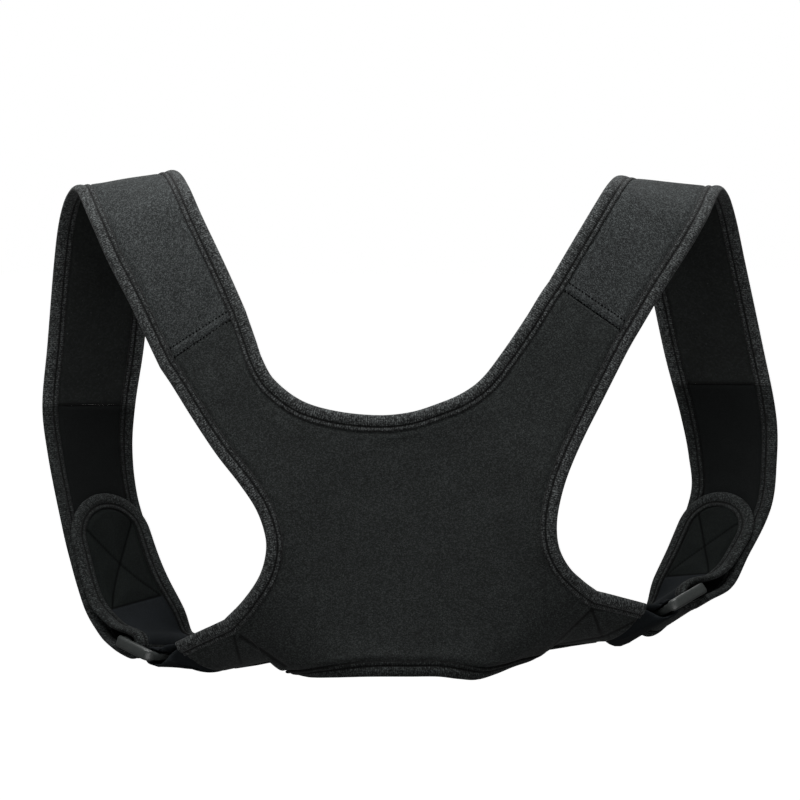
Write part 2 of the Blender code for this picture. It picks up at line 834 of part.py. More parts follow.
def make_ring(name, loop, material):
    centre, along, across, inward, _, _ = loop.frame(RING_ROW)
    across = (across - along * across.dot(along)).normalized()
    outer = ring_outline(RING_SHORT / 2, RING_WINDOW / 2 + RING_SIDE_BAR, RING_CORNER)
    inner = ring_outline(RING_SHORT / 2 - RING_BAR, RING_WINDOW / 2, RING_CORNER / 2)
    chamfer = RING_CHAMFER
    sections = []
    for (out_short, out_long), (in_short, in_long) in zip(outer, inner):
        outside = centre + along * out_short + across * out_long
        inside = centre + along * in_short + across * in_long
        step = (inside - outside).normalized() * chamfer
        high = inward * (RING_THICK / 2)
        mid = inward * (RING_THICK / 2 - chamfer)
        sections.append(
            [
                outside + step + high,
                outside + mid,
                outside - mid,
                outside + step - high,
                inside - step - high,
                inside - mid,
                inside + mid,
                inside - step + high,
            ]
        )
    sections.append(sections[0])
    rows = len(sections)
    columns = len(sections[0]) + 1
    mesh, vertices = new_grid(rows, columns)
    for (row, column), vertex in vertices.items():
        vertex.co = sections[row][column % (columns - 1)]
    bmesh.ops.remove_doubles(mesh, verts=mesh.verts, dist=MERGE_REACH)
    return finish(name, mesh, material)


def make_ring_loop(name, loop, material):
    """Band round the inner bar of the ring, both legs lying on the body side of the wing."""
    ring = loop.length_at(RING_ROW)
    turn = ring - LOOP_CENTRE
    tip = loop.length_at(WING_TIP_ROW) - TIP_CUT
    tail = tip - LOOP_TAIL
    stations = []
    for length in leg_lengths(tail, tip):
        stations.append((length, LOOP_INNER_LEG))
    below = ring - RING_SHORT / 2 - LOOP_BAND / 2
    stations.append(((tip + below) / 2, (LOOP_INNER_LEG + LOOP_RADIUS) / 2))
    stations.append((below, LOOP_RADIUS))
    for step in range(LOOP_TURN_STEPS + 1):
        angle = math.pi * step / LOOP_TURN_STEPS
        stations.append((turn + LOOP_RADIUS * math.sin(angle), LOOP_RADIUS * math.cos(angle)))
    stations.append((below, -LOOP_RADIUS))
    stations.append(((below + tip) / 2, (LOOP_OUTER_LEG - LOOP_RADIUS) / 2))
    for length in reversed(leg_lengths(tail, tip + LOOP_BAND / 2)):
        stations.append((length, LOOP_OUTER_LEG))
    points = []
    for index, (length, height) in enumerate(stations):
        low = stations[max(index - 1, 0)]
        high = stations[min(index + 1, len(stations) - 1)]
        size = math.hypot(high[0] - low[0], high[1] - low[1])
        run = (high[0] - low[0]) / size
        climb = (high[1] - low[1]) / size
        line = []
        for share in LOOP_COLUMNS:
            half = LOOP_BAND / 2
            tail_share = ease((below - length) / (below - tip))
            across_by = share * (LOOP_HALF + (LOOP_TAIL_HALF - LOOP_HALF) * tail_share)
            low_point = loop.at_length(length + climb * half, across_by, height - run * half)
            high_point = loop.at_length(length - climb * half, across_by, height + run * half)
            line.append((low_point, high_point))
        points.append(line)
    return two_faced_body(name, points, material)


def main():
    clear_scene()
    padding = make_padding_material()
    tape = make_tape_material()
    plastic = make_ring_material()
    webbing = make_webbing_material()
    hook = make_hook_material()
    loops = {name: Loop(tables["side"], tables["loop"]) for name, tables in SIDES.items()}
    halves = {
        "left": PanelHalf(loops["left"], SIDES["left"], SIDES["right"]),
        "right": PanelHalf(loops["right"], SIDES["right"], SIDES["left"]),
    }
    make_back_panel("back_panel", list(halves.values()), padding)
    make_neck_binding(loops, halves, tape)
    make_hem_binding(halves, tape)
    for name, tables in SIDES.items():
        loop = loops[name]
        front = tables["front_seam"]
        make_armhole_binding("armhole_binding_" + name, loop, halves[name], front, tape)
        make_shoulder_strap("shoulder_strap_" + name, loop, front, padding)
        path, tab_start = strap_path(loop, front, tables["tab_tip"])
        make_underarm_strap("underarm_strap_" + name, loop, path, tab_start, padding)
        make_underarm_binding("underarm_binding_" + name, loop, path, tab_start, tape)
        make_hook_patch("hook_patch_" + name, loop, tables["tab_tip"], hook)
        make_ring("ring_" + name, loop, plastic)
        make_ring_loop("ring_loop_" + name, loop, webbing)


main()
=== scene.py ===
import math

import bmesh
import bpy
import numpy as np
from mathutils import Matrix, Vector


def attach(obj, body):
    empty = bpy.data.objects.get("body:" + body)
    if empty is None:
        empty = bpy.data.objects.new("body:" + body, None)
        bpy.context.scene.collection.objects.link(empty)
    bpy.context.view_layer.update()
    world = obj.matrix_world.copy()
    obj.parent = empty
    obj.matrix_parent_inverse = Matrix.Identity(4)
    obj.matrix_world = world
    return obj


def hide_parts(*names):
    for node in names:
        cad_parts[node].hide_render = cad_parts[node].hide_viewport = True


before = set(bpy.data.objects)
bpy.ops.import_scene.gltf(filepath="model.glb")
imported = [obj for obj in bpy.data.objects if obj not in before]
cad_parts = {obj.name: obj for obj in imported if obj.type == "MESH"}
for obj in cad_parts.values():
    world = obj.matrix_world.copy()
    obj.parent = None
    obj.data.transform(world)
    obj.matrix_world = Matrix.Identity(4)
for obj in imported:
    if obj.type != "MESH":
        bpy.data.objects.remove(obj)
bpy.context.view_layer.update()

# Sizes in metres that the tables are shares of. Out is away from the middle, forward to the wearer's front.
halfWidth = 0.22
loopHeight = 0.30
loopDepth = 0.13
shoulderForward = 0.058
strapWidth = 0.062

# One arm loop per side, from the wing over the front to the panel seam. Columns: outward, up, forward, then
# swing and dip of the across direction in degrees, then crown and width as shares of the strap width.
leftLoop = [
    (0.409, -0.896, 0.323, 42, -25, 0.129, 1.000),
    (0.579, -0.941, 0.492, 51, -14, 0.129, 1.000),
    (0.619, -0.947, 0.518, 50, -9, 0.000, 1.000),
    (0.660, -0.935, 0.579, 50, -8, 0.000, 1.000),
    (0.701, -0.925, 0.638, 49, -6, 0.000, 0.984),
    (0.751, -0.884, 0.715, 42, 4, 0.000, 0.968),
    (0.798, -0.828, 0.777, 36, 11, 0.000, 0.968),
    (0.843, -0.741, 0.862, 37, 6, 0.000, 0.968),
    (0.881, -0.644, 0.923, 40, 2, 0.000, 0.968),
    (0.903, -0.541, 0.958, 34, 0, 0.000, 0.968),
    (0.906, -0.448, 0.969, 24, -1, 0.000, 0.984),
    (0.884, -0.323, 0.938, 20, -1, 0.000, 1.000),
    (0.858, -0.150, 0.846, 19, 1, 0.000, 1.000),
    (0.836, -0.059, 0.754, 16, 3, 0.000, 1.000),
    (0.807, -0.002, 0.615, 13, 7, 0.000, 1.000),
    (0.771, 0.015, 0.446, 8, 10, 0.000, 1.000),
    (0.728, -0.030, 0.254, 3, 21, 0.000, 1.000),
    (0.684, -0.096, 0.162, -1, 27, 0.000, 1.000),
    (0.620, -0.187, 0.092, -3, 26, 0.000, 0.984),
    (0.553, -0.291, 0.046, -4, 34, 0.000, 0.984),
]
rightLoop = [
    (0.433, -0.860, 0.323, 47, -39, 0.113, 1.000),
    (0.596, -0.874, 0.500, 55, -23, 0.113, 1.000),
    (0.650, -0.876, 0.533, 58, -25, 0.000, 1.000),
    (0.692, -0.862, 0.590, 58, -25, 0.000, 1.000),
    (0.735, -0.848, 0.646, 56, -22, 0.000, 0.984),
    (0.793, -0.805, 0.731, 49, -8, 0.000, 0.968),
    (0.838, -0.751, 0.808, 47, 3, 0.000, 0.968),
    (0.905, -0.645, 0.908, 40, 6, 0.000, 0.968),
    (0.912, -0.560, 0.946, 30, 2, 0.000, 0.968),
    (0.900, -0.469, 0.962, 18, 0, 0.000, 0.984),
    (0.856, -0.333, 0.931, 7, 0, 0.000, 1.000),
    (0.798, -0.150, 0.838, 12, 1, 0.000, 1.000),
    (0.767, -0.059, 0.746, 13, 2, 0.000, 1.000),
    (0.738, -0.006, 0.608, 12, 4, 0.000, 1.000),
    (0.706, 0.009, 0.446, 8, 7, 0.000, 1.000),
    (0.668, -0.022, 0.254, 3, 21, 0.000, 1.000),
    (0.624, -0.070, 0.162, -1, 29, 0.000, 1.000),
    (0.555, -0.148, 0.092, -3, 31, 0.000, 0.984),
    (0.483, -0.235, 0.046, -4, 35, 0.000, 0.984),
]
# Panel edges between the strap seam and the wing. Columns: outward, up and forward.
leftArmhole = [
    (0.636, -0.382, 0.050),
    (0.582, -0.445, 0.031),
    (0.518, -0.515, 0.015),
    (0.454, -0.575, 0.000),
    (0.411, -0.624, 0.000),
    (0.388, -0.674, 0.008),
    (0.387, -0.712, 0.023),
    (0.405, -0.757, 0.054),
    (0.447, -0.805, 0.108),
]
leftNeck = [
    (0.411, -0.291, 0.015),
    (0.392, -0.330, 0.000),
    (0.360, -0.369, -0.008),
    (0.288, -0.409, -0.015),
    (0.197, -0.429, -0.023),
    (0.086, -0.437, -0.027),
    (0.000, -0.431, -0.031),
]
leftHem = [
    (0.000, -0.955, 0.031),
    (0.081, -0.955, 0.031),
    (0.156, -0.958, 0.069),
    (0.214, -0.962, 0.131),
    (0.258, -0.965, 0.208),
    (0.286, -0.964, 0.292),
    (0.306, -0.963, 0.385),
]
rightArmhole = [
    (0.576, -0.320, 0.050),
    (0.517, -0.405, 0.031),
    (0.458, -0.491, 0.015),
    (0.418, -0.561, 0.000),
    (0.397, -0.620, 0.000),
    (0.392, -0.664, 0.008),
    (0.401, -0.704, 0.031),
    (0.429, -0.742, 0.077),
    (0.468, -0.771, 0.131),
]
rightNeck = [
    (0.345, -0.202, 0.015),
    (0.308, -0.246, 0.000),
    (0.247, -0.312, -0.008),
    (0.191, -0.365, -0.015),
    (0.138, -0.394, -0.023),
    (0.071, -0.415, -0.027),
    (0.000, -0.431, -0.031),
]
rightHem = [
    (0.000, -0.955, 0.031),
    (0.075, -0.955, 0.031),
    (0.129, -0.961, 0.054),
    (0.175, -0.965, 0.100),
    (0.222, -0.957, 0.162),
    (0.266, -0.947, 0.238),
    (0.314, -0.939, 0.331),
]
sides = {
    "left": {"side": -1, "loop": leftLoop, "armhole": leftArmhole, "neck": leftNeck, "hem": leftHem,
             "frontSeam": 10.0, "tabTip": 8.1},
    "right": {"side": 1, "loop": rightLoop, "armhole": rightArmhole, "neck": rightNeck, "hem": rightHem,
              "frontSeam": 9.5, "tabTip": 7.15},
}
# Ring: its row in the loop tables, its short side and the clearance before and behind it, in metres.
ring = {"row": 3, "short": 0.031, "clear": 0.0005}
loopSteps = 60  # points read between two rows of a loop table
# Small steps in metres from which directions are read: beside and off a surface, and in from an edge.
probe, edgeProbe = 0.001, 0.004
# Sewn edges in metres: padding without and with tape on it, where wrinkles and sewn lines may begin, and how
# far before the panel seam the tapes' strap part ends.
sewing = {"padding": 0.003, "boundPadding": 0.0012, "tapeWidth": 0.010, "ramp": 0.003, "rampLead": 0.0004,
          "linesFrom": 0.0095, "wavesFrom": 0.009, "mergeReach": 0.000002, "seamGap": 0.0005}


def ease(share):
    share = np.clip(share, 0.0, 1.0)
    return share * share * (3 - 2 * share)


def unit(vectors):
    return vectors / np.maximum(np.linalg.norm(vectors, axis=-1, keepdims=True), 1e-12)


def place(shares, side):
    out, up, forward = shares
    return np.array([side * out * halfWidth, forward * loopDepth - shoulderForward, up * loopHeight])


def knotsOf(points):
    # Root chord lengths, which keep a curve through uneven points free of loops.
    steps = np.sqrt(np.linalg.norm(np.diff(points, axis=0), axis=1))
    return np.concatenate([[0.0], np.cumsum(steps)])


def through(values, knots, where):
    # Values of the smooth curve at places counted in rows.
    where = np.atleast_1d(np.asarray(where, float))
    last = len(values) - 1
    row = np.clip(where.astype(int), 0, last - 1)
    share = where - row
    span = knots[row + 1] - knots[row]
    low = np.maximum(row - 1, 0)
    high = np.minimum(row + 2, last)
    if values.ndim > 1:
        share, span = share[:, None], span[:, None]
        lowSpan = (knots[row + 1] - knots[low])[:, None]
        highSpan = (knots[high] - knots[row])[:, None]
    else:
        lowSpan = knots[row + 1] - knots[low]
        highSpan = knots[high] - knots[row]
    slopeIn = (values[row + 1] - values[low]) / lowSpan * span
    slopeOut = (values[high] - values[row]) / highSpan * span
    square, cube = share**2, share**3
    return (
        values[row] * (2 * cube - 3 * square + 1)
        + slopeIn * (cube - 2 * square + share)
        + values[row + 1] * (3 * square - 2 * cube)
        + slopeOut * (cube - square)
    )


class Loop:
    # Arm loop, addressed by length along it, distance towards the neck edge and height towards the body.

    def __init__(self, side, rows):
        self.side = side
        self.rows = rows
        self.centres = np.array([place(row[:3], side) for row in rows])
        swing = np.radians([row[3] for row in rows])
        rise = np.radians([row[4] for row in rows])
        self.across = np.stack(
            [-side * np.cos(swing) * np.cos(rise), np.sin(swing) * np.cos(rise), np.sin(rise)], 1)
        self.straightenAtRing()
        self.knots = knotsOf(self.centres)
        places = np.linspace(0, len(rows) - 1.0, (len(rows) - 1) * loopSteps + 1)
        centres = through(self.centres, self.knots, places)
        steps = np.linalg.norm(np.diff(centres, axis=0), axis=1)
        self.placeLengths = np.concatenate([[0.0], np.cumsum(steps)])
        self.places = places
        self.total = self.placeLengths[-1]
        self.table = {
            "centre": centres,
            "along": unit(np.gradient(centres, self.placeLengths, axis=0)),
            "across": unit(through(self.across, self.knots, places)),
            "half": through(np.array([row[6] * strapWidth / 2 for row in rows]), self.knots, places)[:, None],
            "crown": np.maximum(
                through(np.array([row[5] * strapWidth for row in rows]), self.knots, places), 0)[:, None],
        }

    def straightenAtRing(self):
        # The loop runs straight through the rigid ring, from just before it to just behind it.
        row = ring["row"]
        along = unit(self.centres[row + 1] - self.centres[row - 1])
        across = unit(self.across[row] - along * self.across[row].dot(along))
        middle = self.centres[row].copy()
        for step in (-1, 0, 1):
            self.centres[row + step] = middle + along * step * (ring["short"] / 2 + ring["clear"])
            self.across[row + step] = across

    def lengthAt(self, where):
        return float(np.interp(where, self.places, self.placeLengths))

    def read(self, name, lengths):
        table = self.table[name]
        flat = np.ravel(lengths)
        inside = np.clip(flat, 0, self.total)
        found = np.stack([np.interp(inside, self.placeLengths, column) for column in table.T], 1)
        if name == "centre":
            found += self.read("along", inside) * (flat - inside)[:, None]
        return found.reshape(*np.shape(lengths), table.shape[1])

    def halfAt(self, lengths):
        return self.read("half", lengths)[..., 0]

    def points(self, lengths, acrossBy, inwardBy):
        lengths, acrossBy, inwardBy = np.broadcast_arrays(lengths, acrossBy, inwardBy)
        across = unit(self.read("across", lengths))
        inward = unit(np.cross(self.read("along", lengths), across) * self.side)
        half = self.read("half", lengths)
        bulge = self.read("crown", lengths) * (1 - (acrossBy[..., None] / half) ** 2)
        centre = self.read("centre", lengths)
        return centre + across * acrossBy[..., None] + inward * (inwardBy[..., None] - bulge)


def gridMesh(points, uvs, slotOf, creases=None):
    # A grid whose vertices are moved to the given points, with the matching map of its surface.
    rows, columns = points.shape[:2]
    mesh = bmesh.new()
    mapLayer = mesh.loops.layers.uv.new("surface")
    creaseLayer = mesh.verts.layers.float.new("crease")
    bmesh.ops.create_grid(mesh, x_segments=columns - 1, y_segments=rows - 1, size=0.5)
    keys = {}
    for vertex in mesh.verts:
        row, column = gridKey(vertex, rows, columns)
        keys[vertex] = (row, column)
        vertex.co = points[row, column]
        if creases is not None:
            vertex[creaseLayer] = creases[row, column]
    for face in mesh.faces:
        for corner in face.loops:
            corner[mapLayer].uv = uvs[keys[corner.vert]]
        face.material_index = slotOf(*(min(keys[vertex][i] for vertex in face.verts) for i in (0, 1)))
    return mesh


def gridKey(vertex, rows, columns):
    # Row and column of a vertex of a fresh grid of size one.
    return round((vertex.co.y + 0.5) * (rows - 1)), round((vertex.co.x + 0.5) * (columns - 1))


def finishPiece(name, mesh, materials, nodes):
    # Makes the named piece, rides it on the frame and lets it stand for its plain solids.
    data = bpy.data.meshes.new(name)
    for face in mesh.faces:
        face.smooth = True
    mesh.to_mesh(data)
    mesh.free()
    for material in materials:
        data.materials.append(material)
    piece = bpy.data.objects.new(name, data)
    bpy.context.scene.collection.objects.link(piece)
    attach(piece, "root")
    if nodes:
        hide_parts(*nodes)
    print("made", name, len(data.polygons), "faces", flush=True)
    return piece


def closedSheet(name, outer, inner, uvs, materials, nodes, innerSlot=0, creases=None, rowSlot=None):
    # Closed sheet between an outer and an inner layer whose first and last rows meet.
    points = np.concatenate([outer, inner[:, ::-1], outer[:, :1]], axis=1)
    turned = np.concatenate([inner, outer[:, ::-1], inner[:, :1]], axis=1)
    maps = np.concatenate([uvs, uvs[:, ::-1], uvs[:, :1]], axis=1)
    for end in (0, -1):
        points[end] = (points[end] + turned[end]) / 2
    columns = outer.shape[1]
    if creases is not None:
        creases = np.concatenate([creases, 0 * creases, creases[:, :1]], axis=1)

    def slotOf(row, column):
        if column > columns - 2:
            return innerSlot
        return rowSlot(row) if rowSlot else 0

    mesh = gridMesh(points, maps, slotOf, creases)
    bmesh.ops.remove_doubles(mesh, verts=mesh.verts, dist=sewing["mergeReach"])
    bmesh.ops.recalc_face_normals(mesh, faces=mesh.faces)
    return finishPiece(name, mesh, materials, nodes)


def paddingHalf(fromEdge):
    # Half thickness of the padding at a distance from the outline: thin under the tape, full beyond it.
    share = (fromEdge - sewing["tapeWidth"] + sewing["rampLead"]) / sewing["ramp"]
    thin, full = sewing["boundPadding"], sewing["padding"]
    return (thin + (full - thin) * ease(share)) / 2


# Mesh columns near each edge, in metres from the outline, closer together where the padding swells.
edgeInsets = np.array([0.0012, 0.004, 0.0075, 0.0092, 0.0098, 0.0104, 0.0112, 0.0121, 0.0132])


def middleShares(count):
    return np.linspace(0, 1, count + 2)[1:-1]


def acrossColumns(half, count):
    # Across positions and edge distances of the columns of a strap for every row.
    half = np.atleast_1d(half)[:, None]
    left = -half + edgeInsets[None, :]
    reach = half - edgeInsets[-1]
    centre = -reach + 2 * reach * middleShares(count)[None, :]
    across = np.concatenate([left, centre, -left[:, ::-1]], axis=1)
    return across, half - np.abs(across)


def segmentDistance(u, v, start, end):
    # Distance of points on a flat map from a line between two map points.
    start, end = np.array(start), np.array(end)
    way = end - start
    share = np.clip(((u - start[0]) * way[0] + (v - start[1]) * way[1]) / way.dot(way), 0, 1)
    return np.hypot(u - start[0] - share * way[0], v - start[1] - share * way[1])


# Crossed waves: how many, their turns, lengths and shifts, and what their sum is divided by.
noise = {"waves": 7, "turn": 2.399, "circle": 6.2832, "least": 0.75, "growth": 0.11, "shift": 1.7, "scale": 4.5}


def softNoise(u, v, size, seed):
    # Smooth hills and hollows between -1 and 1 from a few crossed waves.
    total = np.zeros(np.broadcast(u, v).shape)
    for index in range(noise["waves"]):
        angle = noise["turn"] * index + seed
        reach = noise["circle"] / (size * (noise["least"] + noise["growth"] * index))
        way = u * math.cos(angle) + v * math.sin(angle)
        total = total + np.sin(reach * way + seed * (index + noise["shift"]))
    return total / noise["scale"]


# Double sewn row beside a seam, in metres: middle and spacing, stitches, raised strip and mesh rows.
seamRows = {"middle": 0.0032, "spacing": 0.0056, "pitch": 0.0023, "length": 0.0013, "width": 0.0012,
            "height": 0.0010, "swell": 0.0006, "swellHalf": 0.0019, "swellEnd": 0.002,
            "reach": 0.0090, "steps": 25, "fromEdge": 0.0102, "firstAt": 0.0008}


def makeStitches(name, places, alongs, ups, material):
    # Short rounded stitches half sunk in the cloth, one at each place.
    mesh = bmesh.new()
    for here, along, up in zip(places, alongs, ups):
        made = bmesh.ops.create_uvsphere(mesh, u_segments=6, v_segments=4, radius=0.5)
        side = np.cross(up, along)
        for vertex in made["verts"]:
            x, y, z = vertex.co
            lengthwise, sideways = along * x * seamRows["length"], side * y * seamRows["width"]
            vertex.co = here + (lengthwise + sideways + up * z * seamRows["height"])
    return finishPiece(name, mesh, [material], [])


def makeSeamStitches(name, loop, material):
    # Two rows of stitches across the strap beside a seam.
    places, alongs, ups = [], [], []
    lift = -sewing["padding"] / 2
    half = float(loop.halfAt(loop.total)) - seamRows["fromEdge"]
    across = np.arange(-half + seamRows["firstAt"], half, seamRows["pitch"])
    for row in (-0.5, 0.5):
        length = loop.total - seamRows["middle"] + row * seamRows["spacing"]
        here = loop.points(np.full(len(across), length), across, lift)
        ahead = loop.points(np.full(len(across), length), across + probe / 2, lift)
        lifted = loop.points(np.full(len(across), length), across, lift - probe)
        places.append(here)
        alongs.append(unit(ahead - here))
        ups.append(unit(lifted - here))
    makeStitches(name, np.concatenate(places), np.concatenate(alongs), np.concatenate(ups), material)


# Shoulder strap in metres: mesh rows, soft wrinkles away from the seams, and the thinner sewn ends.
shoulderStrap = {"rowStep": 0.0016, "middleColumns": 26, "wrinkle": 0.00035, "wrinkleSize": 0.045,
                 "wrinkleGrow": 0.012, "calmAtSeam": 0.007, "pinch": 0.15, "pinchReach": 0.001}


def makeShoulderStrap(name, loop, tables, materials):
    start = loop.lengthAt(tables["frontSeam"])
    end = loop.total
    settings = shoulderStrap
    sewnFrom = end - seamRows["reach"]
    lengths = np.concatenate([np.linspace(start, sewnFrom, int((sewnFrom - start) / settings["rowStep"])),
                              np.linspace(sewnFrom, end, seamRows["steps"])[1:]])
    across, fromEdge = acrossColumns(loop.halfAt(lengths), settings["middleColumns"])
    lengths = lengths[:, None] + 0 * across
    thick = paddingHalf(fromEdge)
    toSeam = np.minimum(lengths - start, end - lengths)
    thick = thick * (1 - settings["pinch"] + settings["pinch"] * ease(toSeam / settings["pinchReach"]))
    wave = softNoise(across, lengths, settings["wrinkleSize"], 1.3 + loop.side)
    wave = wave * settings["wrinkle"] * ease((toSeam - settings["calmAtSeam"]) / settings["wrinkleGrow"])
    wave = wave * ease((fromEdge - sewing["wavesFrom"]) / settings["wrinkleGrow"])
    strip = np.exp(-(((end - lengths - seamRows["middle"]) / seamRows["swellHalf"]) ** 4)) * seamRows["swell"]
    swell = strip * ease((fromEdge - sewing["linesFrom"]) / seamRows["swellEnd"])
    outer = loop.points(lengths, across, wave - thick - swell)
    inner = loop.points(lengths, across, wave + thick)
    uvs = np.stack([across, lengths], axis=2)
    piece = closedSheet("strapCloth_" + name, outer, inner, uvs, materials,
                        ["shoulder_strap_" + name], 1)


# Strap end in metres: turn round the ring's bar, step between the legs, round tab and mesh rows.
foldedStrap = {"turnRadius": 0.0065, "turnCentre": 0.008, "turnClose": 0.050, "layerStep": 0.0048,
               "tabHalf": 0.0285, "tabBlendFrom": 0.07, "tabBlend": 0.06,
               "downStep": 0.0016, "upStep": 0.0014, "turnSteps": 19,
               "arcDegrees": [*np.linspace(3, 78, 24), 81, 83.5, 86, 88, 89.2, 90]}


class FoldedStrap:
    # The strap end that goes down through the ring, turns round its bar and comes back up to a round tab.

    def __init__(self, loop, tables):
        self.loop = loop
        settings = foldedStrap
        ringAt = loop.lengthAt(ring["row"])
        self.turn = ringAt + settings["turnCentre"]
        self.straight = ringAt + ring["short"] / 2
        self.start = loop.lengthAt(tables["frontSeam"])
        self.tabEnd = loop.lengthAt(tables["tabTip"]) - settings["tabHalf"]
        down = np.linspace(self.start, self.turn, int((self.start - self.turn) / settings["downStep"]))
        angles = np.linspace(0, math.pi, settings["turnSteps"])[1:-1]
        up = np.linspace(self.turn, self.tabEnd, int((self.tabEnd - self.turn) / settings["upStep"]))
        self.arcAngles = np.radians(settings["arcDegrees"])
        arc = self.tabEnd + settings["tabHalf"] * np.sin(self.arcAngles)
        radius = settings["turnRadius"]
        self.lengths = np.concatenate([down, self.turn - radius * np.sin(angles), up, arc])
        self.heights = np.concatenate([self.outerHeight(down), -radius * np.cos(angles), self.innerHeight(up),
                                       self.innerHeight(arc)])
        size = np.hypot(np.gradient(self.lengths), np.gradient(self.heights))
        self.run = np.gradient(self.lengths) / size
        self.climb = np.gradient(self.heights) / size
        self.arcStart = len(self.lengths) - len(arc)
        self.foldIndex = len(down) + settings["turnSteps"] // 2
        steps = np.hypot(np.diff(self.lengths), np.diff(self.heights))
        self.along = np.concatenate([[0.0], np.cumsum(steps)])

    def outerHeight(self, lengths):
        return -foldedStrap["turnRadius"] * (1 - ease((lengths - self.straight) / foldedStrap["turnClose"]))

    def innerHeight(self, lengths):
        share = ease((lengths - self.straight) / foldedStrap["turnClose"])
        gap = 2 * foldedStrap["turnRadius"]
        return self.outerHeight(lengths) + gap + (foldedStrap["layerStep"] - gap) * share

    def halves(self, shrink):
        # Half width of every station at a distance inside the outline, and how far the end arc is shortened.
        settings = foldedStrap
        toTab = ease((self.lengths - self.tabEnd + settings["tabBlendFrom"]) / settings["tabBlend"])
        onInner = np.arange(len(self.lengths)) > self.foldIndex
        half = self.loop.halfAt(np.minimum(self.lengths, self.loop.total))
        half = half + (settings["tabHalf"] - half) * toTab * onInner - shrink
        onward = np.zeros(len(half))
        half[self.arcStart:] = (settings["tabHalf"] - shrink) * np.cos(self.arcAngles)
        onward[self.arcStart:] = -shrink * np.sin(self.arcAngles)
        return half, onward

    def points(self, stations, across, lift, onward=0.0):
        # Points beside the strap. Lift is towards the body on the outer leg.
        across, lift, onward = np.broadcast_arrays(across, lift, onward)
        shape = (len(stations),) + (1,) * (across.ndim - 1)
        length, height = self.lengths[stations].reshape(shape), self.heights[stations].reshape(shape)
        run, climb = self.run[stations].reshape(shape), self.climb[stations].reshape(shape)
        return self.loop.points(length + climb * lift + run * onward, across,
                                height - run * lift + climb * onward)


# Sewn box of each tab: how far behind the tab's tip it starts and ends, and its half width, in mm.
tabBoxes = {"left": (19.5, 75.5, 18.0), "right": (16.0, 63.0, 18.0)}
# Underarm strap in metres: the puffed box and its sewn channels on the tab, and wrinkles elsewhere.
underarmStrap = {"middleColumns": 30, "puff": 0.0022, "puffReach": 0.0070, "channel": 0.0008,
                 "channelHalf": 0.0008, "creaseHalf": 0.0007, "boxEnd": 0.0015, "boxFrom": 0.0105,
                 "boxGrow": 0.003, "tabReach": 0.095, "tabGrow": 0.02, "plainFrom": 0.001,
                 "lineGrow": 0.001, "wrinkle": 0.0002, "wrinkleSize": 0.05, "wrinkleGrow": 0.012}


def makeUnderarmStrap(name, loop, folded, materials):
    settings = underarmStrap
    columns = [(inset, -1) for inset in edgeInsets]
    columns += [(edgeInsets[-1], 2 * share - 1) for share in middleShares(settings["middleColumns"])]
    columns += [(inset, 1) for inset in edgeInsets[::-1]]
    across, onward = [], []
    for inset, share in columns:
        half, shift = folded.halves(inset)
        across.append(half * share)
        onward.append(shift)
    across, onward = np.stack(across, 1), np.stack(onward, 1)
    outline, _ = folded.halves(0.0)
    fromEdge = outline[:, None] - np.abs(across)
    arc = folded.arcStart
    reach = folded.lengths[:, None] - folded.tabEnd + onward
    fromEdge[arc:] = (foldedStrap["tabHalf"] - np.hypot(across, reach))[arc:]
    thick = paddingHalf(fromEdge)
    fromTip = folded.tabEnd + foldedStrap["tabHalf"] - (folded.lengths[:, None] + onward)
    onTab = (np.arange(len(folded.lengths)) > folded.foldIndex)[:, None] * ease(
        (settings["tabReach"] - fromTip) / settings["tabGrow"])
    distance = np.full(across.shape, 1.0)
    low, high, side = (value / 1000 for value in tabBoxes[name])
    sewnLines = [((low, -side), (high, side)), ((low, side), (high, -side)), ((high, -side), (high, side))]
    for start, end in sewnLines:
        distance = np.minimum(distance, segmentDistance(fromTip, across, start, end))
    inBox = ease((high - fromTip) / settings["boxEnd"])
    inBox = inBox * ease((fromEdge - settings["boxFrom"]) / settings["boxGrow"])
    puff = settings["puff"] * (1 - np.exp(-((distance / settings["puffReach"]) ** 2))) * inBox
    channel = settings["channel"] * np.exp(-((distance / settings["channelHalf"]) ** 2))
    raised = onTab * (puff - channel)
    # Nearness to the sewn channels, which the cloth darkens with painted shade.
    creases = onTab * np.exp(-((distance / settings["creaseHalf"]) ** 2))
    creases = creases * ease((fromEdge - sewing["linesFrom"]) / settings["lineGrow"])
    wave = softNoise(across, folded.along[:, None], settings["wrinkleSize"], 2.1 + loop.side)
    wave = wave * settings["wrinkle"]
    wave = wave * ease((fromEdge - sewing["wavesFrom"]) / settings["wrinkleGrow"]) * (1 - onTab)
    stations = np.arange(len(folded.lengths))
    outer = folded.points(stations, across, wave - thick - raised, onward)
    inner = folded.points(stations, across, wave + thick, onward)
    uvs = np.stack([across, folded.along[:, None] + onward], axis=2)
    behindBox = fromTip[:, fromTip.shape[1] // 2] > high + settings["plainFrom"]

    def rowSlot(row):
        if row <= folded.foldIndex:
            return 0
        return 3 if behindBox[row] else 2

    piece = closedSheet("underarmCloth_" + name, outer, inner, uvs, materials,
                        ["underarm_strap_" + name, "hook_patch_" + name], 1, creases, rowSlot)


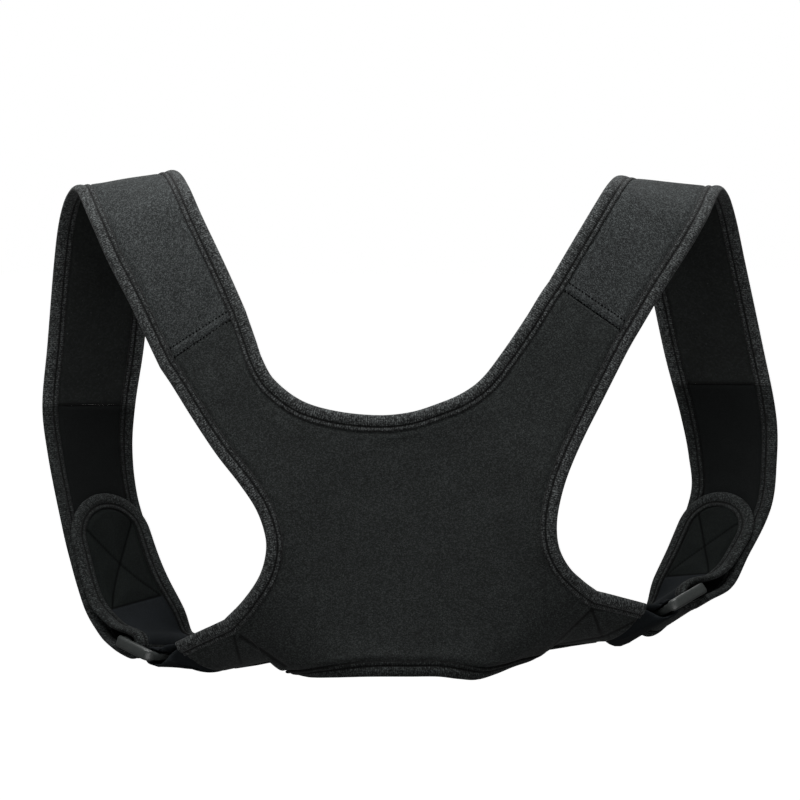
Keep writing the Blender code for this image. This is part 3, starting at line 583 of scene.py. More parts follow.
class PanelHalf:
    # One half of the back panel, as rows from the armhole edge to the neck edge, centre line or hem edge.

    def __init__(self, loop, tables, otherTables):
        self.loop = loop
        side = loop.side
        seam = loop.total
        half = loop.halfAt(seam)
        rim = loop.halfAt(0.0)
        armStart, neckStart = loop.points(seam, -half, 0.0), loop.points(seam, half, 0.0)
        armEnd, hemEnd = loop.points(0.0, -rim, 0.0), loop.points(0.0, rim, 0.0)
        self.armhole = np.array([armStart, *[place(row, side) for row in tables["armhole"]], armEnd])
        self.neck = np.array([neckStart, *[place(row, side) for row in tables["neck"]]])
        self.neckFull = np.array([*self.neck, place(otherTables["neck"][-2], -side)])
        self.hem = np.array([*[place(row, side) for row in tables["hem"]], hemEnd])
        self.hemFull = np.array([place(otherTables["hem"][1], -side), *self.hem])
        self.centreWay = unit(self.hem[0] - self.neck[-1])
        self.buildRows()
        self.buildFrames()

    def on(self, points, share, skipFirst=0, skipLast=0):
        knots = knotsOf(points)
        first, last = skipFirst, len(points) - 1 - skipLast
        target = knots[first] + share * (knots[last] - knots[first])
        return through(points, knots, np.interp(target, knots, np.arange(len(points))))[0]

    def buildRows(self):
        settings = panelCloth
        self.rows = [("band", self.loop.total, 0.0)]
        self.arm = [self.armhole[0]]
        self.far = [self.neck[0]]
        for step in range(1, settings["neckSteps"] + 1):
            share = step / settings["neckSteps"]
            self.rows.append(("neck", 0.0, share))
            self.arm.append(self.on(self.armhole, share * settings["neckEnd"]))
            self.far.append(self.on(self.neckFull, share, 0, 1))
        top = self.far[-1] + self.centreWay * edgeInsets[-1]
        bottom = self.hem[0] - self.centreWay * edgeInsets[-1]
        for step in range(1, settings["centreSteps"]):
            share = step / settings["centreSteps"]
            self.rows.append(("centre", 0.0, share))
            self.arm.append(self.on(self.armhole, settings["neckEnd"]
                                    + share * (settings["hemStart"] - settings["neckEnd"])))
            self.far.append(top + (bottom - top) * share)
        for step in range(settings["hemSteps"]):
            share = step / settings["hemSteps"]
            self.rows.append(("hem", 0.0, share))
            self.arm.append(self.on(self.armhole, settings["hemStart"] + share * (1 - settings["hemStart"])))
            self.far.append(self.on(self.hemFull, share, 1, 0))
        tip = self.loop.lengthAt(1.0) - settings["tipCut"]
        for step in range(settings["wingSteps"] + 1):
            length = tip * step / settings["wingSteps"]
            half = self.loop.halfAt(length)
            self.rows.append(("band", length, 1.0))
            self.arm.append(self.loop.points(length, -half, 0.0))
            self.far.append(self.loop.points(length, half, 0.0))
        self.arm, self.far = np.array(self.arm), np.array(self.far)

    def buildFrames(self):
        # Outline point, direction along the sheet and direction towards the body for each end of each row.
        self.frames = []
        last = len(self.rows) - 1
        for index, (kind, length, share) in enumerate(self.rows):
            pair = []
            for end, rail, other in ((0, self.arm, self.far), (1, self.far, self.arm)):
                here = rail[index]
                if end and kind != "band" and abs(here[0]) < 1e-9:
                    way = self.centreWay if kind == "neck" else -self.centreWay
                    pair.append((here, way, np.array([0, -self.centreWay[2], self.centreWay[1]])))
                    continue
                if kind == "band":
                    half = self.loop.halfAt(length)
                    edge = -half if end == 0 else half
                    step = probe * (2 if end == 0 else -2)
                    way = unit(self.loop.points(length, edge + step, 0.0) - here)
                    lifted = unit(self.loop.points(length, edge, probe) - here)
                    pair.append((here, way, lifted))
                    continue
                tangent = unit(rail[min(index + 1, last)] - rail[max(index - 1, 0)])
                across = other[index] - here
                way = unit(across - tangent * across.dot(tangent))
                normal = unit(np.cross(tangent, way))
                if normal[1] < 0:
                    normal = -normal
                if end and kind in ("neck", "hem"):
                    nearCentre = float(ease(1 - abs(here[0]) / panelCloth["straightReach"]))
                    down = self.centreWay if kind == "neck" else -self.centreWay
                    way = unit(way * (1 - nearCentre) + down * nearCentre)
                    normal = unit(normal - way * normal.dot(way))
                if kind == "hem":
                    half = self.loop.halfAt(0.0)
                    span = unit(self.loop.points(0.0, 0.01, 0.0) - self.loop.points(0.0, -0.01, 0.0))
                    body = unit(self.loop.points(0.0, 0.0, probe) - self.loop.points(0.0, 0.0, 0.0))
                    turn = share**3
                    way = unit(way * (1 - turn) + (span if end == 0 else -span) * turn)
                    normal = unit(normal * (1 - turn) + body * turn)
                pair.append((here, way, normal))
            self.frames.append(pair)

    def crown(self, index):
        kind, _, share = self.rows[index]
        return self.loop.rows[0][5] * strapWidth * float(ease(share)) ** 2 if kind == "hem" else 0.0

    def line(self, index, middle):
        # Middle surface points, directions towards the body and edge distances across one row.
        kind, length, _ = self.rows[index]
        near = edgeInsets
        if kind == "band":
            half = self.loop.halfAt(length)
            across, fromEdge = acrossColumns(half, len(middle))
            points = self.loop.points(np.full(across.shape[1], length), across[0], 0.0)
            lifted = self.loop.points(np.full(across.shape[1], length), across[0], probe)
            return points, unit(lifted - points), fromEdge[0]
        (armHere, armWay, armNormal), (farHere, farWay, farNormal) = self.frames[index]
        size = np.linalg.norm(farHere - armHere)
        bulge = self.crown(index) * 4
        armShare = near / size
        armSide = armHere + armWay * near[:, None] - armNormal * (bulge * armShare * (1 - armShare))[:, None]
        if kind == "centre":
            stop, stopNormal = farHere, np.array([0.0, 1.0, 0.0])
        else:
            farRise = bulge * armShare * (1 - armShare)
            farSide = farHere + farWay * near[:, None] - farNormal * farRise[:, None]
            stop, stopNormal = farSide[-1], farNormal
        rim = near[-1] / size
        shares = middle[:, None]
        normals = unit(armNormal * (1 - shares) + stopNormal * shares)
        inner = rim + shares * (1 - 2 * rim)
        rise = bulge * (inner * (1 - inner) - rim * (1 - rim))
        body = armSide[-1] * (1 - shares) + stop * shares - normals * rise
        if kind == "centre":
            points = np.concatenate([armSide, body, [stop]])
            normals = np.concatenate([np.tile(armNormal, (len(near), 1)), normals, [stopNormal]])
            fromEdge = np.concatenate([near, near[-1] + middle * size, [near[-1] + size]])
            return points, normals, fromEdge
        points = np.concatenate([armSide, body, farSide[::-1]])
        normals = np.concatenate(
            [np.tile(armNormal, (len(near), 1)), normals, np.tile(farNormal, (len(near), 1))])
        between = np.minimum(near[-1] + middle * size, near[-1] + (1 - middle) * size)
        return points, normals, np.concatenate([near, between, near[::-1]])


# Panel: mesh rows of each stretch, where the rows' armhole ends change over, as shares of the armhole, and
# how the middle is evened out. Lengths are in metres, but wingsFrom is in mm.
panelCloth = {"neckSteps": 90, "centreSteps": 42, "hemSteps": 70, "wingSteps": 26, "middleColumns": 40,
              "neckEnd": 0.52, "hemStart": 0.80, "tipCut": 0.007, "straightReach": 0.05,
              "evenFrom": 0.0145, "evenTimes": 160, "mergeReach": 0.00002, "leastArea": 1e-10,
              "wave": 0.0006, "waveSize": 0.12, "waveGrow": 0.02, "lineGrow": 0.002, "wingsFrom": 60}


def panelGrid(half, middle):
    # Middle surface points, half thicknesses and edge distances of one panel half.
    extra = len(edgeInsets) - 1
    points, thick = [], []
    for index in range(len(half.rows)):
        line, _, fromEdge = half.line(index, middle)
        if half.rows[index][0] == "centre":
            line = np.concatenate([line, np.tile(line[-1], (extra, 1))])
            fromEdge = np.concatenate([fromEdge, np.tile(fromEdge[-1], extra)])
        points.append(line)
        thick.append(fromEdge)
    return np.array(points), np.array(thick)


def makeBackPanel(halves, materials):
    # Both halves joined along the centre line, evened out, then given an outer and an inner face.
    settings = panelCloth
    middle = middleShares(settings["middleColumns"])
    mesh = bmesh.new()
    uvLayer = mesh.loops.layers.uv.new("surface")
    edgeLayer = mesh.verts.layers.float.new("fromEdge")
    for half in halves:
        points, fromEdge = panelGrid(half, middle)
        rows, columns = points.shape[:2]
        made = bmesh.ops.create_grid(mesh, x_segments=columns - 1, y_segments=rows - 1, size=0.5)
        for vertex in made["verts"]:
            row, column = gridKey(vertex, rows, columns)
            vertex.co = points[row, column]
            vertex[edgeLayer] = fromEdge[row, column]
        flat = [face for face in mesh.faces if face.calc_area() < settings["leastArea"]]
        bmesh.ops.delete(mesh, geom=flat, context="FACES")
    loose = [vertex for vertex in mesh.verts if not vertex.link_faces]
    bmesh.ops.delete(mesh, geom=loose, context="VERTS")
    bmesh.ops.remove_doubles(mesh, verts=mesh.verts, dist=settings["mergeReach"])
    bmesh.ops.recalc_face_normals(mesh, faces=mesh.faces)
    if sum(face.normal.y * face.calc_area() for face in mesh.faces) < 0:
        bmesh.ops.reverse_faces(mesh, faces=mesh.faces)
    inside = [vertex for vertex in mesh.verts if vertex[edgeLayer] > settings["evenFrom"]]
    for _ in range(settings["evenTimes"]):
        bmesh.ops.smooth_vert(mesh, verts=inside, factor=0.5, use_axis_x=False, use_axis_y=True,
                              use_axis_z=False)
    mesh.normal_update()
    creaseLayer = mesh.verts.layers.float.new("crease")
    originals, facts = list(mesh.verts), []
    for vertex in originals:
        distance = vertex[edgeLayer]
        outerWave, innerWave, crease = panelWave(vertex.co, distance)
        vertex[creaseLayer] = crease
        thick = float(paddingHalf(distance))
        facts.append((vertex.co.copy(), vertex.normal.copy(), thick, outerWave, innerWave))
    outerFaces = list(mesh.faces)
    copied = bmesh.ops.duplicate(mesh, geom=mesh.verts[:] + mesh.edges[:] + outerFaces)
    for old, (here, normal, thick, outerWave, innerWave) in zip(originals, facts):
        twin = copied["vert_map"][old]
        old.co = here + normal * (outerWave - thick)
        twin.co = here + normal * (innerWave + thick)
        twin[creaseLayer] = 0.0
    for face in outerFaces:
        face.material_index = 0
    for item in copied["geom"]:
        if isinstance(item, bmesh.types.BMFace):
            item.material_index = 1
    for face in mesh.faces:
        for corner in face.loops:
            corner[uvLayer].uv = (corner.vert.co.x, corner.vert.co.z)
    rim = [edge for edge in mesh.edges if len(edge.link_faces) == 1]
    bmesh.ops.bridge_loops(mesh, edges=rim)
    bmesh.ops.recalc_face_normals(mesh, faces=mesh.faces)
    piece = finishPiece("panelCloth", mesh, materials, ["back_panel"])


# Sewn lines of each wing seen from behind, in mm. Columns: out and up of both ends, depth and half width.
wingLines = {
    "left": [(101, -265, 74, -283, 1.0, 1.6), (102, -284, 105, -264, 0.5, 1.0)],
    "right": [(108, -249, 83, -273, 0.5, 1.0), (146, -252, 116, -269, 0.5, 1.0),
              (108, -249, 116, -269, 0.4, 1.0), (116, -269, 83, -273, 0.5, 1.0),
              (108, -249, 146, -252, 0.5, 1.0)],
}


def panelWave(here, fromEdge):
    # Height of the outer and the inner face at a panel point, towards the body, and how near it lies to a sewn
    # line, which the cloth darkens with painted shade.
    x, z = here.x * 1000, here.z * 1000
    settings = panelCloth
    wave = float(softNoise(here.x, here.z, settings["waveSize"], 0.7)) * settings["wave"]
    wave = wave * float(ease((fromEdge - sewing["wavesFrom"]) / settings["waveGrow"]))
    dent, crease = 0.0, 0.0
    for side, lines in ((-1, wingLines["left"]), (1, wingLines["right"])):
        if side * x < settings["wingsFrom"]:
            continue
        for startOut, startUp, endOut, endUp, depth, reach in lines:
            distance = float(segmentDistance(side * x, z, (startOut, startUp), (endOut, endUp)))
            near = math.exp(-((distance / reach) ** 2))
            near = near * float(ease((fromEdge - sewing["linesFrom"]) / settings["lineGrow"]))
            dent += depth * near / 1000
            crease = max(crease, near)
    return wave + dent, wave, crease


# Tape in metres: the slot that the cloth lies in, and its swell. The profile is in mm: inset from the nose and
# height over the middle of the cloth.
tape = {"step": 0.0009, "cavity": 0.00065, "cavityFrom": 0.0012, "cavityTo": 0.0099, "flatWidth": 0.0215,
        "swell": 0.05, "swellSize": 0.021, "swellFrom": 0.0001, "mergeReach": 0.000004,
        "profile": [(9.9, 0.75), (9.85, 1.35), (9.4, 1.75), (8.7, 1.95), (7.9, 1.85), (7.3, 1.45),
                    (6.95, 1.2), (6.5, 1.5), (5.8, 2.0), (4.6, 2.35), (3.2, 2.4), (2.0, 2.15), (1.0, 1.6),
                    (0.35, 0.9), (0.0, 0.0)]}


def resample(values, along, places):
    return np.stack([np.interp(places, along, values[:, i]) for i in range(3)], 1)


def makeTape(name, spine, materials, nodes):
    # Folded knit tape with a rounded nose, a sewn groove and a narrow ridge, swept along an edge.
    edge, way, normal = spine
    steps = np.linalg.norm(np.diff(edge, axis=0), axis=1)
    keep = np.concatenate([[True], steps > 1e-6])
    edge, way, normal = edge[keep], way[keep], normal[keep]
    along = np.concatenate([[0.0], np.cumsum(np.linalg.norm(np.diff(edge, axis=0), axis=1))])
    places = np.linspace(0, along[-1], int(along[-1] / tape["step"]))
    edge = resample(edge, along, places)
    way = unit(resample(way, along, places))
    normal = unit(resample(normal, along, places))
    profile = [(inset / 1000, height / 1000) for inset, height in tape["profile"]]
    cavity = tape["cavity"]
    section = [*profile, *[(inset, -height) for inset, height in profile[-2::-1]]]
    near, far = tape["cavityFrom"], tape["cavityTo"]
    section += [(far, -cavity), (near, -cavity), (near, cavity), (far, cavity)]
    section.append(section[0])
    inset = np.array([item[0] for item in section])[None, :]
    height = np.array([item[1] for item in section])[None, :]
    signed = inset * np.where(height > 0, 1, -1)
    wander = softNoise(places, places * 0, tape["swellSize"], 0.4 + len(name))[:, None]
    height = height * (1 + tape["swell"] * wander * (np.abs(height) > cavity + tape["swellFrom"]))
    points = edge[:, None] + way[:, None] * inset[..., None] + normal[:, None] * height[..., None]
    uvs = np.stack(np.broadcast_arrays(signed, places[:, None]), axis=2)
    mesh = gridMesh(points, uvs, lambda row, column: 0)
    bmesh.ops.remove_doubles(mesh, verts=mesh.verts, dist=tape["mergeReach"])
    bmesh.ops.holes_fill(mesh, edges=mesh.edges, sides=0)
    bmesh.ops.recalc_face_normals(mesh, faces=mesh.faces)
    piece = finishPiece(name, mesh, materials, nodes)


def strapSpine(loop, start, end, edge):
    # Edge line of a strap, with its directions along the sheet and towards the body.
    lengths = np.linspace(start, end, int(abs(end - start) / probe))
    half = loop.halfAt(lengths)
    here = loop.points(lengths, edge * half, 0.0)
    way = unit(loop.points(lengths, edge * (half - edgeProbe), 0.0) - here)
    normal = unit(loop.points(lengths, edge * half, probe) - here)
    return here, way, normal


def panelSpine(half, end, first, last):
    # Edge line of the panel, its sheet direction tilted with the crown of the wing.
    parts = []
    for index in range(first, last):
        here, way, normal = half.frames[index][end]
        slope = 4 * half.crown(index) / np.linalg.norm(half.far[index] - half.arm[index])
        parts.append((here, unit(way - normal * slope), normal))
    return tuple(np.array([part[i] for part in parts]) for i in range(3))


def foldedSpine(folded):
    # Edge line of the folded strap, down one side, round the tab and back along the other.
    half, onward = folded.halves(0.0)
    inHalf, inOnward = folded.halves(edgeProbe)
    stations = np.arange(len(half))
    lines = []
    for edge, order in ((-1, stations), (1, stations[::-1])):
        here = folded.points(stations, edge * half, 0.0, onward)
        way = unit(folded.points(stations, edge * inHalf, 0.0, inOnward) - here)
        normal = unit(folded.points(stations, edge * half, probe, onward) - here)
        lines.append((here[order], way[order], normal[order]))
    return joinSpines(*lines)


def joinSpines(*spines):
    return tuple(np.concatenate([spine[i] for spine in spines]) for i in range(3))


def reverseSpine(spine):
    return tuple(part[::-1] for part in spine)


# Ring band in metres: its turn and legs, its width, its raised rim and its mesh rows.
ringLoop = {"centre": 0.0108, "radius": 0.0047, "tipCut": 0.007, "tail": 0.031, "thick": 0.0014,
            "innerLeg": 0.0053, "outerLeg": 0.0033, "half": 0.029, "tailHalf": 0.024, "rimAt": 0.0014,
            "rimWidth": 0.0009, "flatFrom": 0.002, "flatOver": 0.001, "turnSteps": 25, "legSteps": 24,
            "joinSteps": 12, "acrossSteps": 41}


def makeRingLoop(name, loop, materials):
    # Smooth band round the inner bar of the ring, both legs lying on the body side of the wing.
    settings = ringLoop
    ringAt = loop.lengthAt(ring["row"])
    turn = ringAt - settings["centre"]
    radius = settings["radius"]
    tip = loop.lengthAt(1.0) - settings["tipCut"]
    tail = tip - settings["tail"]
    below = ringAt - ring["short"] / 2 - settings["thick"] / 2
    angles = np.linspace(0, math.pi, settings["turnSteps"])
    inner = np.linspace(tail, tip, settings["legSteps"])
    share = np.linspace(0, 1, settings["joinSteps"])[1:]
    lengths = np.concatenate([inner, tip + (below - tip) * share, turn + radius * np.sin(angles)])
    heights = np.concatenate([0 * inner + settings["innerLeg"],
                              settings["innerLeg"] + (radius - settings["innerLeg"]) * ease(share),
                              radius * np.cos(angles)])
    back = np.linspace(0, 1, settings["joinSteps"])
    outerLeg = np.linspace(tip, tail, settings["legSteps"])[1:]
    lengths = np.concatenate([lengths, below + (tip - below) * back, outerLeg])
    heights = np.concatenate([heights, -radius + (settings["outerLeg"] + radius) * ease(back),
                              np.full(len(outerLeg), settings["outerLeg"])])
    steps = np.hypot(np.diff(lengths), np.diff(heights))
    keep = np.concatenate([[True], steps > 1e-6])
    lengths, heights = lengths[keep], heights[keep]
    size = np.hypot(np.gradient(lengths), np.gradient(heights))
    run, climb = np.gradient(lengths) / size, np.gradient(heights) / size
    along = np.concatenate([[0.0], np.cumsum(np.hypot(np.diff(lengths), np.diff(heights)))])
    toTail = ease((below - lengths) / (below - tip))
    half = settings["half"] + (settings["tailHalf"] - settings["half"]) * toTail
    across = np.linspace(-1, 1, settings["acrossSteps"])[None, :] * half[:, None]
    rim = half[:, None] - np.abs(across)
    ridge = np.exp(-((rim - settings["rimAt"]) / settings["rimWidth"]) ** 2)
    flat = ease((rim - settings["flatFrom"]) / settings["flatOver"])
    thick = settings["thick"] / 2 * (0.55 + 0.6 * ridge + 0.45 * flat)
    ahead, aside = climb[:, None] * thick, run[:, None] * thick
    outer = loop.points(lengths[:, None] + ahead, across, heights[:, None] - aside)
    inside = loop.points(lengths[:, None] - ahead, across, heights[:, None] + aside)
    uvs = np.stack(np.broadcast_arrays(across, along[:, None]), axis=2)
    piece = closedSheet("ringBand_" + name, outer, inside, uvs, materials, ["ring_loop_" + name])


# Moulded ring, in metres: its window, the widths and half thicknesses of its bars, and its mesh steps.
moulded = {"window": 0.063, "bar": 0.006, "sideBar": 0.0055, "corner": 0.0030, "thick": 0.0025,
           "sideThick": 0.0034, "thickFrom": 0.0317, "thickOver": 0.0012, "leastStraight": 0.004,
           "straightSteps": 14, "cornerSteps": 8, "sectionSteps": 24}


def ringOutline(shortHalf, longHalf, corner):
    # Points and outward directions round a rounded rectangle.
    places, outs = [], []
    steps = moulded["cornerSteps"]
    for quarter, (shortSide, longSide) in enumerate([(1, 1), (-1, 1), (-1, -1), (1, -1)]):
        centre = np.array([shortSide * (shortHalf - corner), longSide * (longHalf - corner)])
        for step in range(steps + 1):
            angle = math.pi / 2 * (quarter + step / steps)
            out = np.array([math.cos(angle), math.sin(angle)])
            places.append(centre + out * corner)
            outs.append(out)
    places.append(places[0])
    outs.append(outs[0])
    fullPlaces, fullOuts = [places[0]], [outs[0]]
    for index in range(1, len(places)):
        straight = np.linalg.norm(places[index] - places[index - 1]) > moulded["leastStraight"]
        count = moulded["straightSteps"] if straight else 1
        for step in range(1, count + 1):
            share = 0.5 - 0.5 * math.cos(math.pi * step / count)
            fullPlaces.append(places[index - 1] + (places[index] - places[index - 1]) * share)
            fullOuts.append(outs[index - 1] + (outs[index] - outs[index - 1]) * share)
    return np.array(fullPlaces), np.array(fullOuts)


def makeRing(name, loop, material):
    # Smooth moulded ring whose side bars are thicker than the bars that the bands go round.
    length = loop.lengthAt(ring["row"])
    centre = loop.read("centre", length)
    ahead, behind = loop.read("centre", length + edgeProbe), loop.read("centre", length - edgeProbe)
    along = unit(ahead - behind)
    across = unit(loop.points(length, probe, 0.0) - loop.points(length, -probe, 0.0))
    across = unit(across - along * across.dot(along))
    inward = unit(loop.points(length, 0.0, probe) - loop.points(length, 0.0, 0.0))
    bar, sideBar = moulded["bar"] / 2, moulded["sideBar"] / 2
    places, outs = ringOutline(ring["short"] / 2 - bar, moulded["window"] / 2 + sideBar, moulded["corner"])
    turns = np.linspace(0, 2 * math.pi, moulded["sectionSteps"] + 1)
    flat = np.sign(np.cos(turns)) * np.abs(np.cos(turns)) ** 0.5
    lift = np.sign(np.sin(turns)) * np.abs(np.sin(turns)) ** 0.5
    outSizes = np.abs(outs)
    reach = (bar * outSizes[:, :1] + sideBar * outSizes[:, 1:]) / outSizes.sum(axis=1, keepdims=True)
    flatPlaces = places[:, None, :] + outs[:, None, :] * (reach * flat[None, :])[..., None]
    toSide = ease((np.abs(flatPlaces[..., 1]) - moulded["thickFrom"]) / moulded["thickOver"])
    thick = moulded["thick"] + (moulded["sideThick"] - moulded["thick"]) * toSide
    points = (centre + along * flatPlaces[..., :1] + across * flatPlaces[..., 1:]
              + inward * (thick * lift[None, :])[..., None])
    rows = np.arange(len(places))[:, None]
    uvs = np.stack(np.broadcast_arrays(turns[None, :] / 1000, rows / 1000), axis=2)
    mesh = gridMesh(points, uvs, lambda row, column: 0)
    bmesh.ops.remove_doubles(mesh, verts=mesh.verts, dist=sewing["mergeReach"])
    bmesh.ops.recalc_face_normals(mesh, faces=mesh.faces)
    finishPiece("ringBody_" + name, mesh, [material], ["ring_" + name])


def newMaterial(name):
    material = bpy.data.materials.new(name)
    material.use_nodes = True
    tree = material.node_tree
    tree.nodes.clear()
    output = tree.nodes.new("ShaderNodeOutputMaterial")
    shader = tree.nodes.new("ShaderNodeBsdfPrincipled")
    tree.links.new(shader.outputs["BSDF"], output.inputs["Surface"])
    return material, tree, shader


def node(tree, kind, values=None, **settings):
    made = tree.nodes.new(kind)
    for key, value in settings.items():
        setattr(made, key, value)
    for key, value in (values or {}).items():
        made.inputs[key].default_value = value
    return made


def joined(tree, start, output, end, entry):
    tree.links.new(start.outputs[output], end.inputs[entry])


def rampOf(tree, stops):
    # Colour ramp of the given places and colours. A single number is a grey.
    made = tree.nodes.new("ShaderNodeValToRGB")
    items = made.color_ramp.elements
    while len(items) < len(stops):
        items.new(0.5)
    for item, (spot, color) in zip(items, stops):
        item.position = spot
        item.color = (*(color if isinstance(color, tuple) else (color,) * 3), 1.0)
    return made


def bumped(tree, shader, source, output, strength, depth):
    bump = node(tree, "ShaderNodeBump", {"Strength": strength, "Distance": depth})
    joined(tree, source, output, bump, "Height")
    joined(tree, bump, "Normal", shader, "Normal")


def knitGroup():
    # Knit loops on a surface map: a random tone for each loop and its height.
    tree = bpy.data.node_groups.new("knitLoops", "ShaderNodeTree")
    tree.interface.new_socket("Map", in_out="INPUT", socket_type="NodeSocketVector")
    tree.interface.new_socket("Width", in_out="INPUT", socket_type="NodeSocketFloat")
    tree.interface.new_socket("Pitch", in_out="INPUT", socket_type="NodeSocketFloat")
    tree.interface.new_socket("Tone", in_out="OUTPUT", socket_type="NodeSocketFloat")
    tree.interface.new_socket("Height", in_out="OUTPUT", socket_type="NodeSocketFloat")
    entry = tree.nodes.new("NodeGroupInput")
    leave = tree.nodes.new("NodeGroupOutput")
    parts = node(tree, "ShaderNodeSeparateXYZ")
    across = node(tree, "ShaderNodeMath", operation="DIVIDE")
    along = node(tree, "ShaderNodeMath", operation="DIVIDE")
    scaled = node(tree, "ShaderNodeCombineXYZ")
    loops = node(tree, "ShaderNodeTexVoronoi", {"Scale": 1.0, "Randomness": 0.75})
    tone = node(tree, "ShaderNodeSeparateColor")
    height = node(tree, "ShaderNodeMath", {0: 1.0}, operation="SUBTRACT")
    joined(tree, entry, "Map", parts, "Vector")
    joined(tree, parts, "X", across, 0)
    joined(tree, entry, "Width", across, 1)
    joined(tree, parts, "Y", along, 0)
    joined(tree, entry, "Pitch", along, 1)
    joined(tree, across, "Value", scaled, "X")
    joined(tree, along, "Value", scaled, "Y")
    joined(tree, scaled, "Vector", loops, "Vector")
    joined(tree, loops, "Color", tone, "Color")
    joined(tree, tone, "Red", leave, "Tone")
    joined(tree, loops, "Distance", height, 1)
    joined(tree, height, "Value", leave, "Height")
    return tree


knitLoops = knitGroup()


def knitNodes(tree, settings, middle):
    # The surface map, the knit loops on it and the ramp of their tones.
    surface = node(tree, "ShaderNodeUVMap", uv_map="surface")
    sizes = {"Width": settings["width"], "Pitch": settings["pitch"]}
    knit = node(tree, "ShaderNodeGroup", sizes, node_tree=knitLoops)
    joined(tree, surface, "UV", knit, "Map")
    tone = rampOf(tree, [(0.0, settings["low"]), (middle, 1.0), (1.0, settings["high"])])
    joined(tree, knit, "Tone", tone, "Fac")
    return surface, knit, tone


def scaledColor(tree, shader, color, tones):
    # Base colour multiplied by several grey tones.
    last = None
    for tone in tones:
        mixed = node(tree, "ShaderNodeMix", data_type="RGBA", blend_type="MULTIPLY")
        mixed.inputs["Factor"].default_value = 1.0
        if last is None:
            mixed.inputs["A"].default_value = (*color, 1.0)
        else:
            joined(tree, last, "Result", mixed, "A")
        joined(tree, tone, "Color", mixed, "B")
        last = mixed
    joined(tree, last, "Result", shader, "Base Color")


# Tone ramps that all cloths share: places and greys of soft patches, and of the painted shade that darkens the
# sewn creases.
clothLook = {"middle": 0.6, "lintBlend": 0.05, "patchScale": 45.0, "patches": [(0.35, 0.92), (0.65, 1.08)],
             "creases": [(0.15, 1.0), (0.8, 0.25)], "bumpDepth": 0.0003}


def clothMaterial(name, settings):
    # Knit cloth: loops of random tone, sparse bright lint and soft large patches, all on the surface map, and
    # painted shade along the sewn creases.
    material, tree, shader = newMaterial(name)
    surface, knit, loopTone = knitNodes(tree, settings, clothLook["middle"])
    lint = node(tree, "ShaderNodeTexNoise", {"Scale": settings["lintScale"], "Detail": 1.0})
    patch = node(tree, "ShaderNodeTexNoise", {"Scale": clothLook["patchScale"], "Detail": 3.0})
    crease = node(tree, "ShaderNodeAttribute", attribute_name="crease")
    joined(tree, surface, "UV", lint, "Vector")
    joined(tree, surface, "UV", patch, "Vector")
    lintFrom = settings["lintFrom"]
    lintTone = rampOf(tree, [(lintFrom, 1.0), (lintFrom + clothLook["lintBlend"], settings["lint"])])
    patchTone = rampOf(tree, clothLook["patches"])
    creaseShadeTone = rampOf(tree, clothLook["creases"])
    for source, tone in ((lint, lintTone), (patch, patchTone), (crease, creaseShadeTone)):
        joined(tree, source, "Fac", tone, "Fac")
    scaledColor(tree, shader, settings["color"], [loopTone, lintTone, patchTone, creaseShadeTone])
    bumped(tree, shader, knit, "Height", settings["bump"], clothLook["bumpDepth"])
    shader.inputs["Roughness"].default_value = settings["roughness"]
    shader.inputs["Sheen Weight"].default_value = settings["sheen"]
    shader.inputs["Sheen Roughness"].default_value = 0.5
    shader.inputs["Specular IOR Level"].default_value = settings["specular"]
    return material


# Tone along the tape's width, as shares of 10 mm from the nose: plain face, sewn groove, ridge and edge. The
# groove and the inner edge are darkened with painted shade.
tapeToneAndPaintedShade = [(0.0, 1.05), (0.59, 0.95), (0.64, 0.12), (0.725, 0.12), (0.77, 0.85), (0.90, 0.8), (0.945, 0.15)]


def tapeMaterial(name, settings):
    # Ribbed knit tape: random loops, ribs across, and painted shade in the sewn groove beside a ridge of chain
    # loops and along the inner edge.
    material, tree, shader = newMaterial(name)
    surface, knit, loopTone = knitNodes(tree, settings, 0.55)
    parts = node(tree, "ShaderNodeSeparateXYZ")
    joined(tree, surface, "UV", parts, "Vector")
    inset = node(tree, "ShaderNodeMath", operation="ABSOLUTE")
    joined(tree, parts, "X", inset, 0)
    share = node(tree, "ShaderNodeMath", {1: 100.0}, operation="MULTIPLY")
    joined(tree, inset, "Value", share, 0)
    lines = rampOf(tree, tapeToneAndPaintedShade)
    joined(tree, share, "Value", lines, "Fac")
    ribWay = node(tree, "ShaderNodeMath", {1: 6.28318 / settings["rib"]}, operation="MULTIPLY")
    joined(tree, parts, "Y", ribWay, 0)
    ribs = node(tree, "ShaderNodeMath", operation="SINE")
    joined(tree, ribWay, "Value", ribs, 0)
    ribTone = rampOf(tree, [(0.0, settings["ribLow"]), (1.0, 1.15)])
    half = node(tree, "ShaderNodeMath", {1: 0.5, 2: 0.5}, operation="MULTIPLY_ADD")
    joined(tree, ribs, "Value", half, 0)
    joined(tree, half, "Value", ribTone, "Fac")
    scaledColor(tree, shader, settings["color"], [loopTone, lines, ribTone])
    both = node(tree, "ShaderNodeMath", {1: 0.5}, operation="MULTIPLY_ADD")
    joined(tree, half, "Value", both, 0)
    joined(tree, knit, "Height", both, 2)
    bumped(tree, shader, both, "Value", settings["bump"], 0.0004)
    shader.inputs["Roughness"].default_value = 0.95
    shader.inputs["Sheen Weight"].default_value = settings["sheen"]
    shader.inputs["Specular IOR Level"].default_value = 0.2
    return material


def plasticMaterial():
    material, tree, shader = newMaterial("ringPlastic")
    spot = node(tree, "ShaderNodeTexCoord")
    grain = node(tree, "ShaderNodeTexNoise", {"Scale": 900.0, "Detail": 3.0})
    joined(tree, spot, "Object", grain, "Vector")
    tone = rampOf(tree, [(0.3, (0.034, 0.038, 0.037)), (0.7, (0.046, 0.050, 0.048))])
    joined(tree, grain, "Fac", tone, "Fac")
    joined(tree, tone, "Color", shader, "Base Color")
    bumped(tree, shader, grain, "Fac", 0.15, 0.0002)
    shader.inputs["Roughness"].default_value = 0.32
    return material


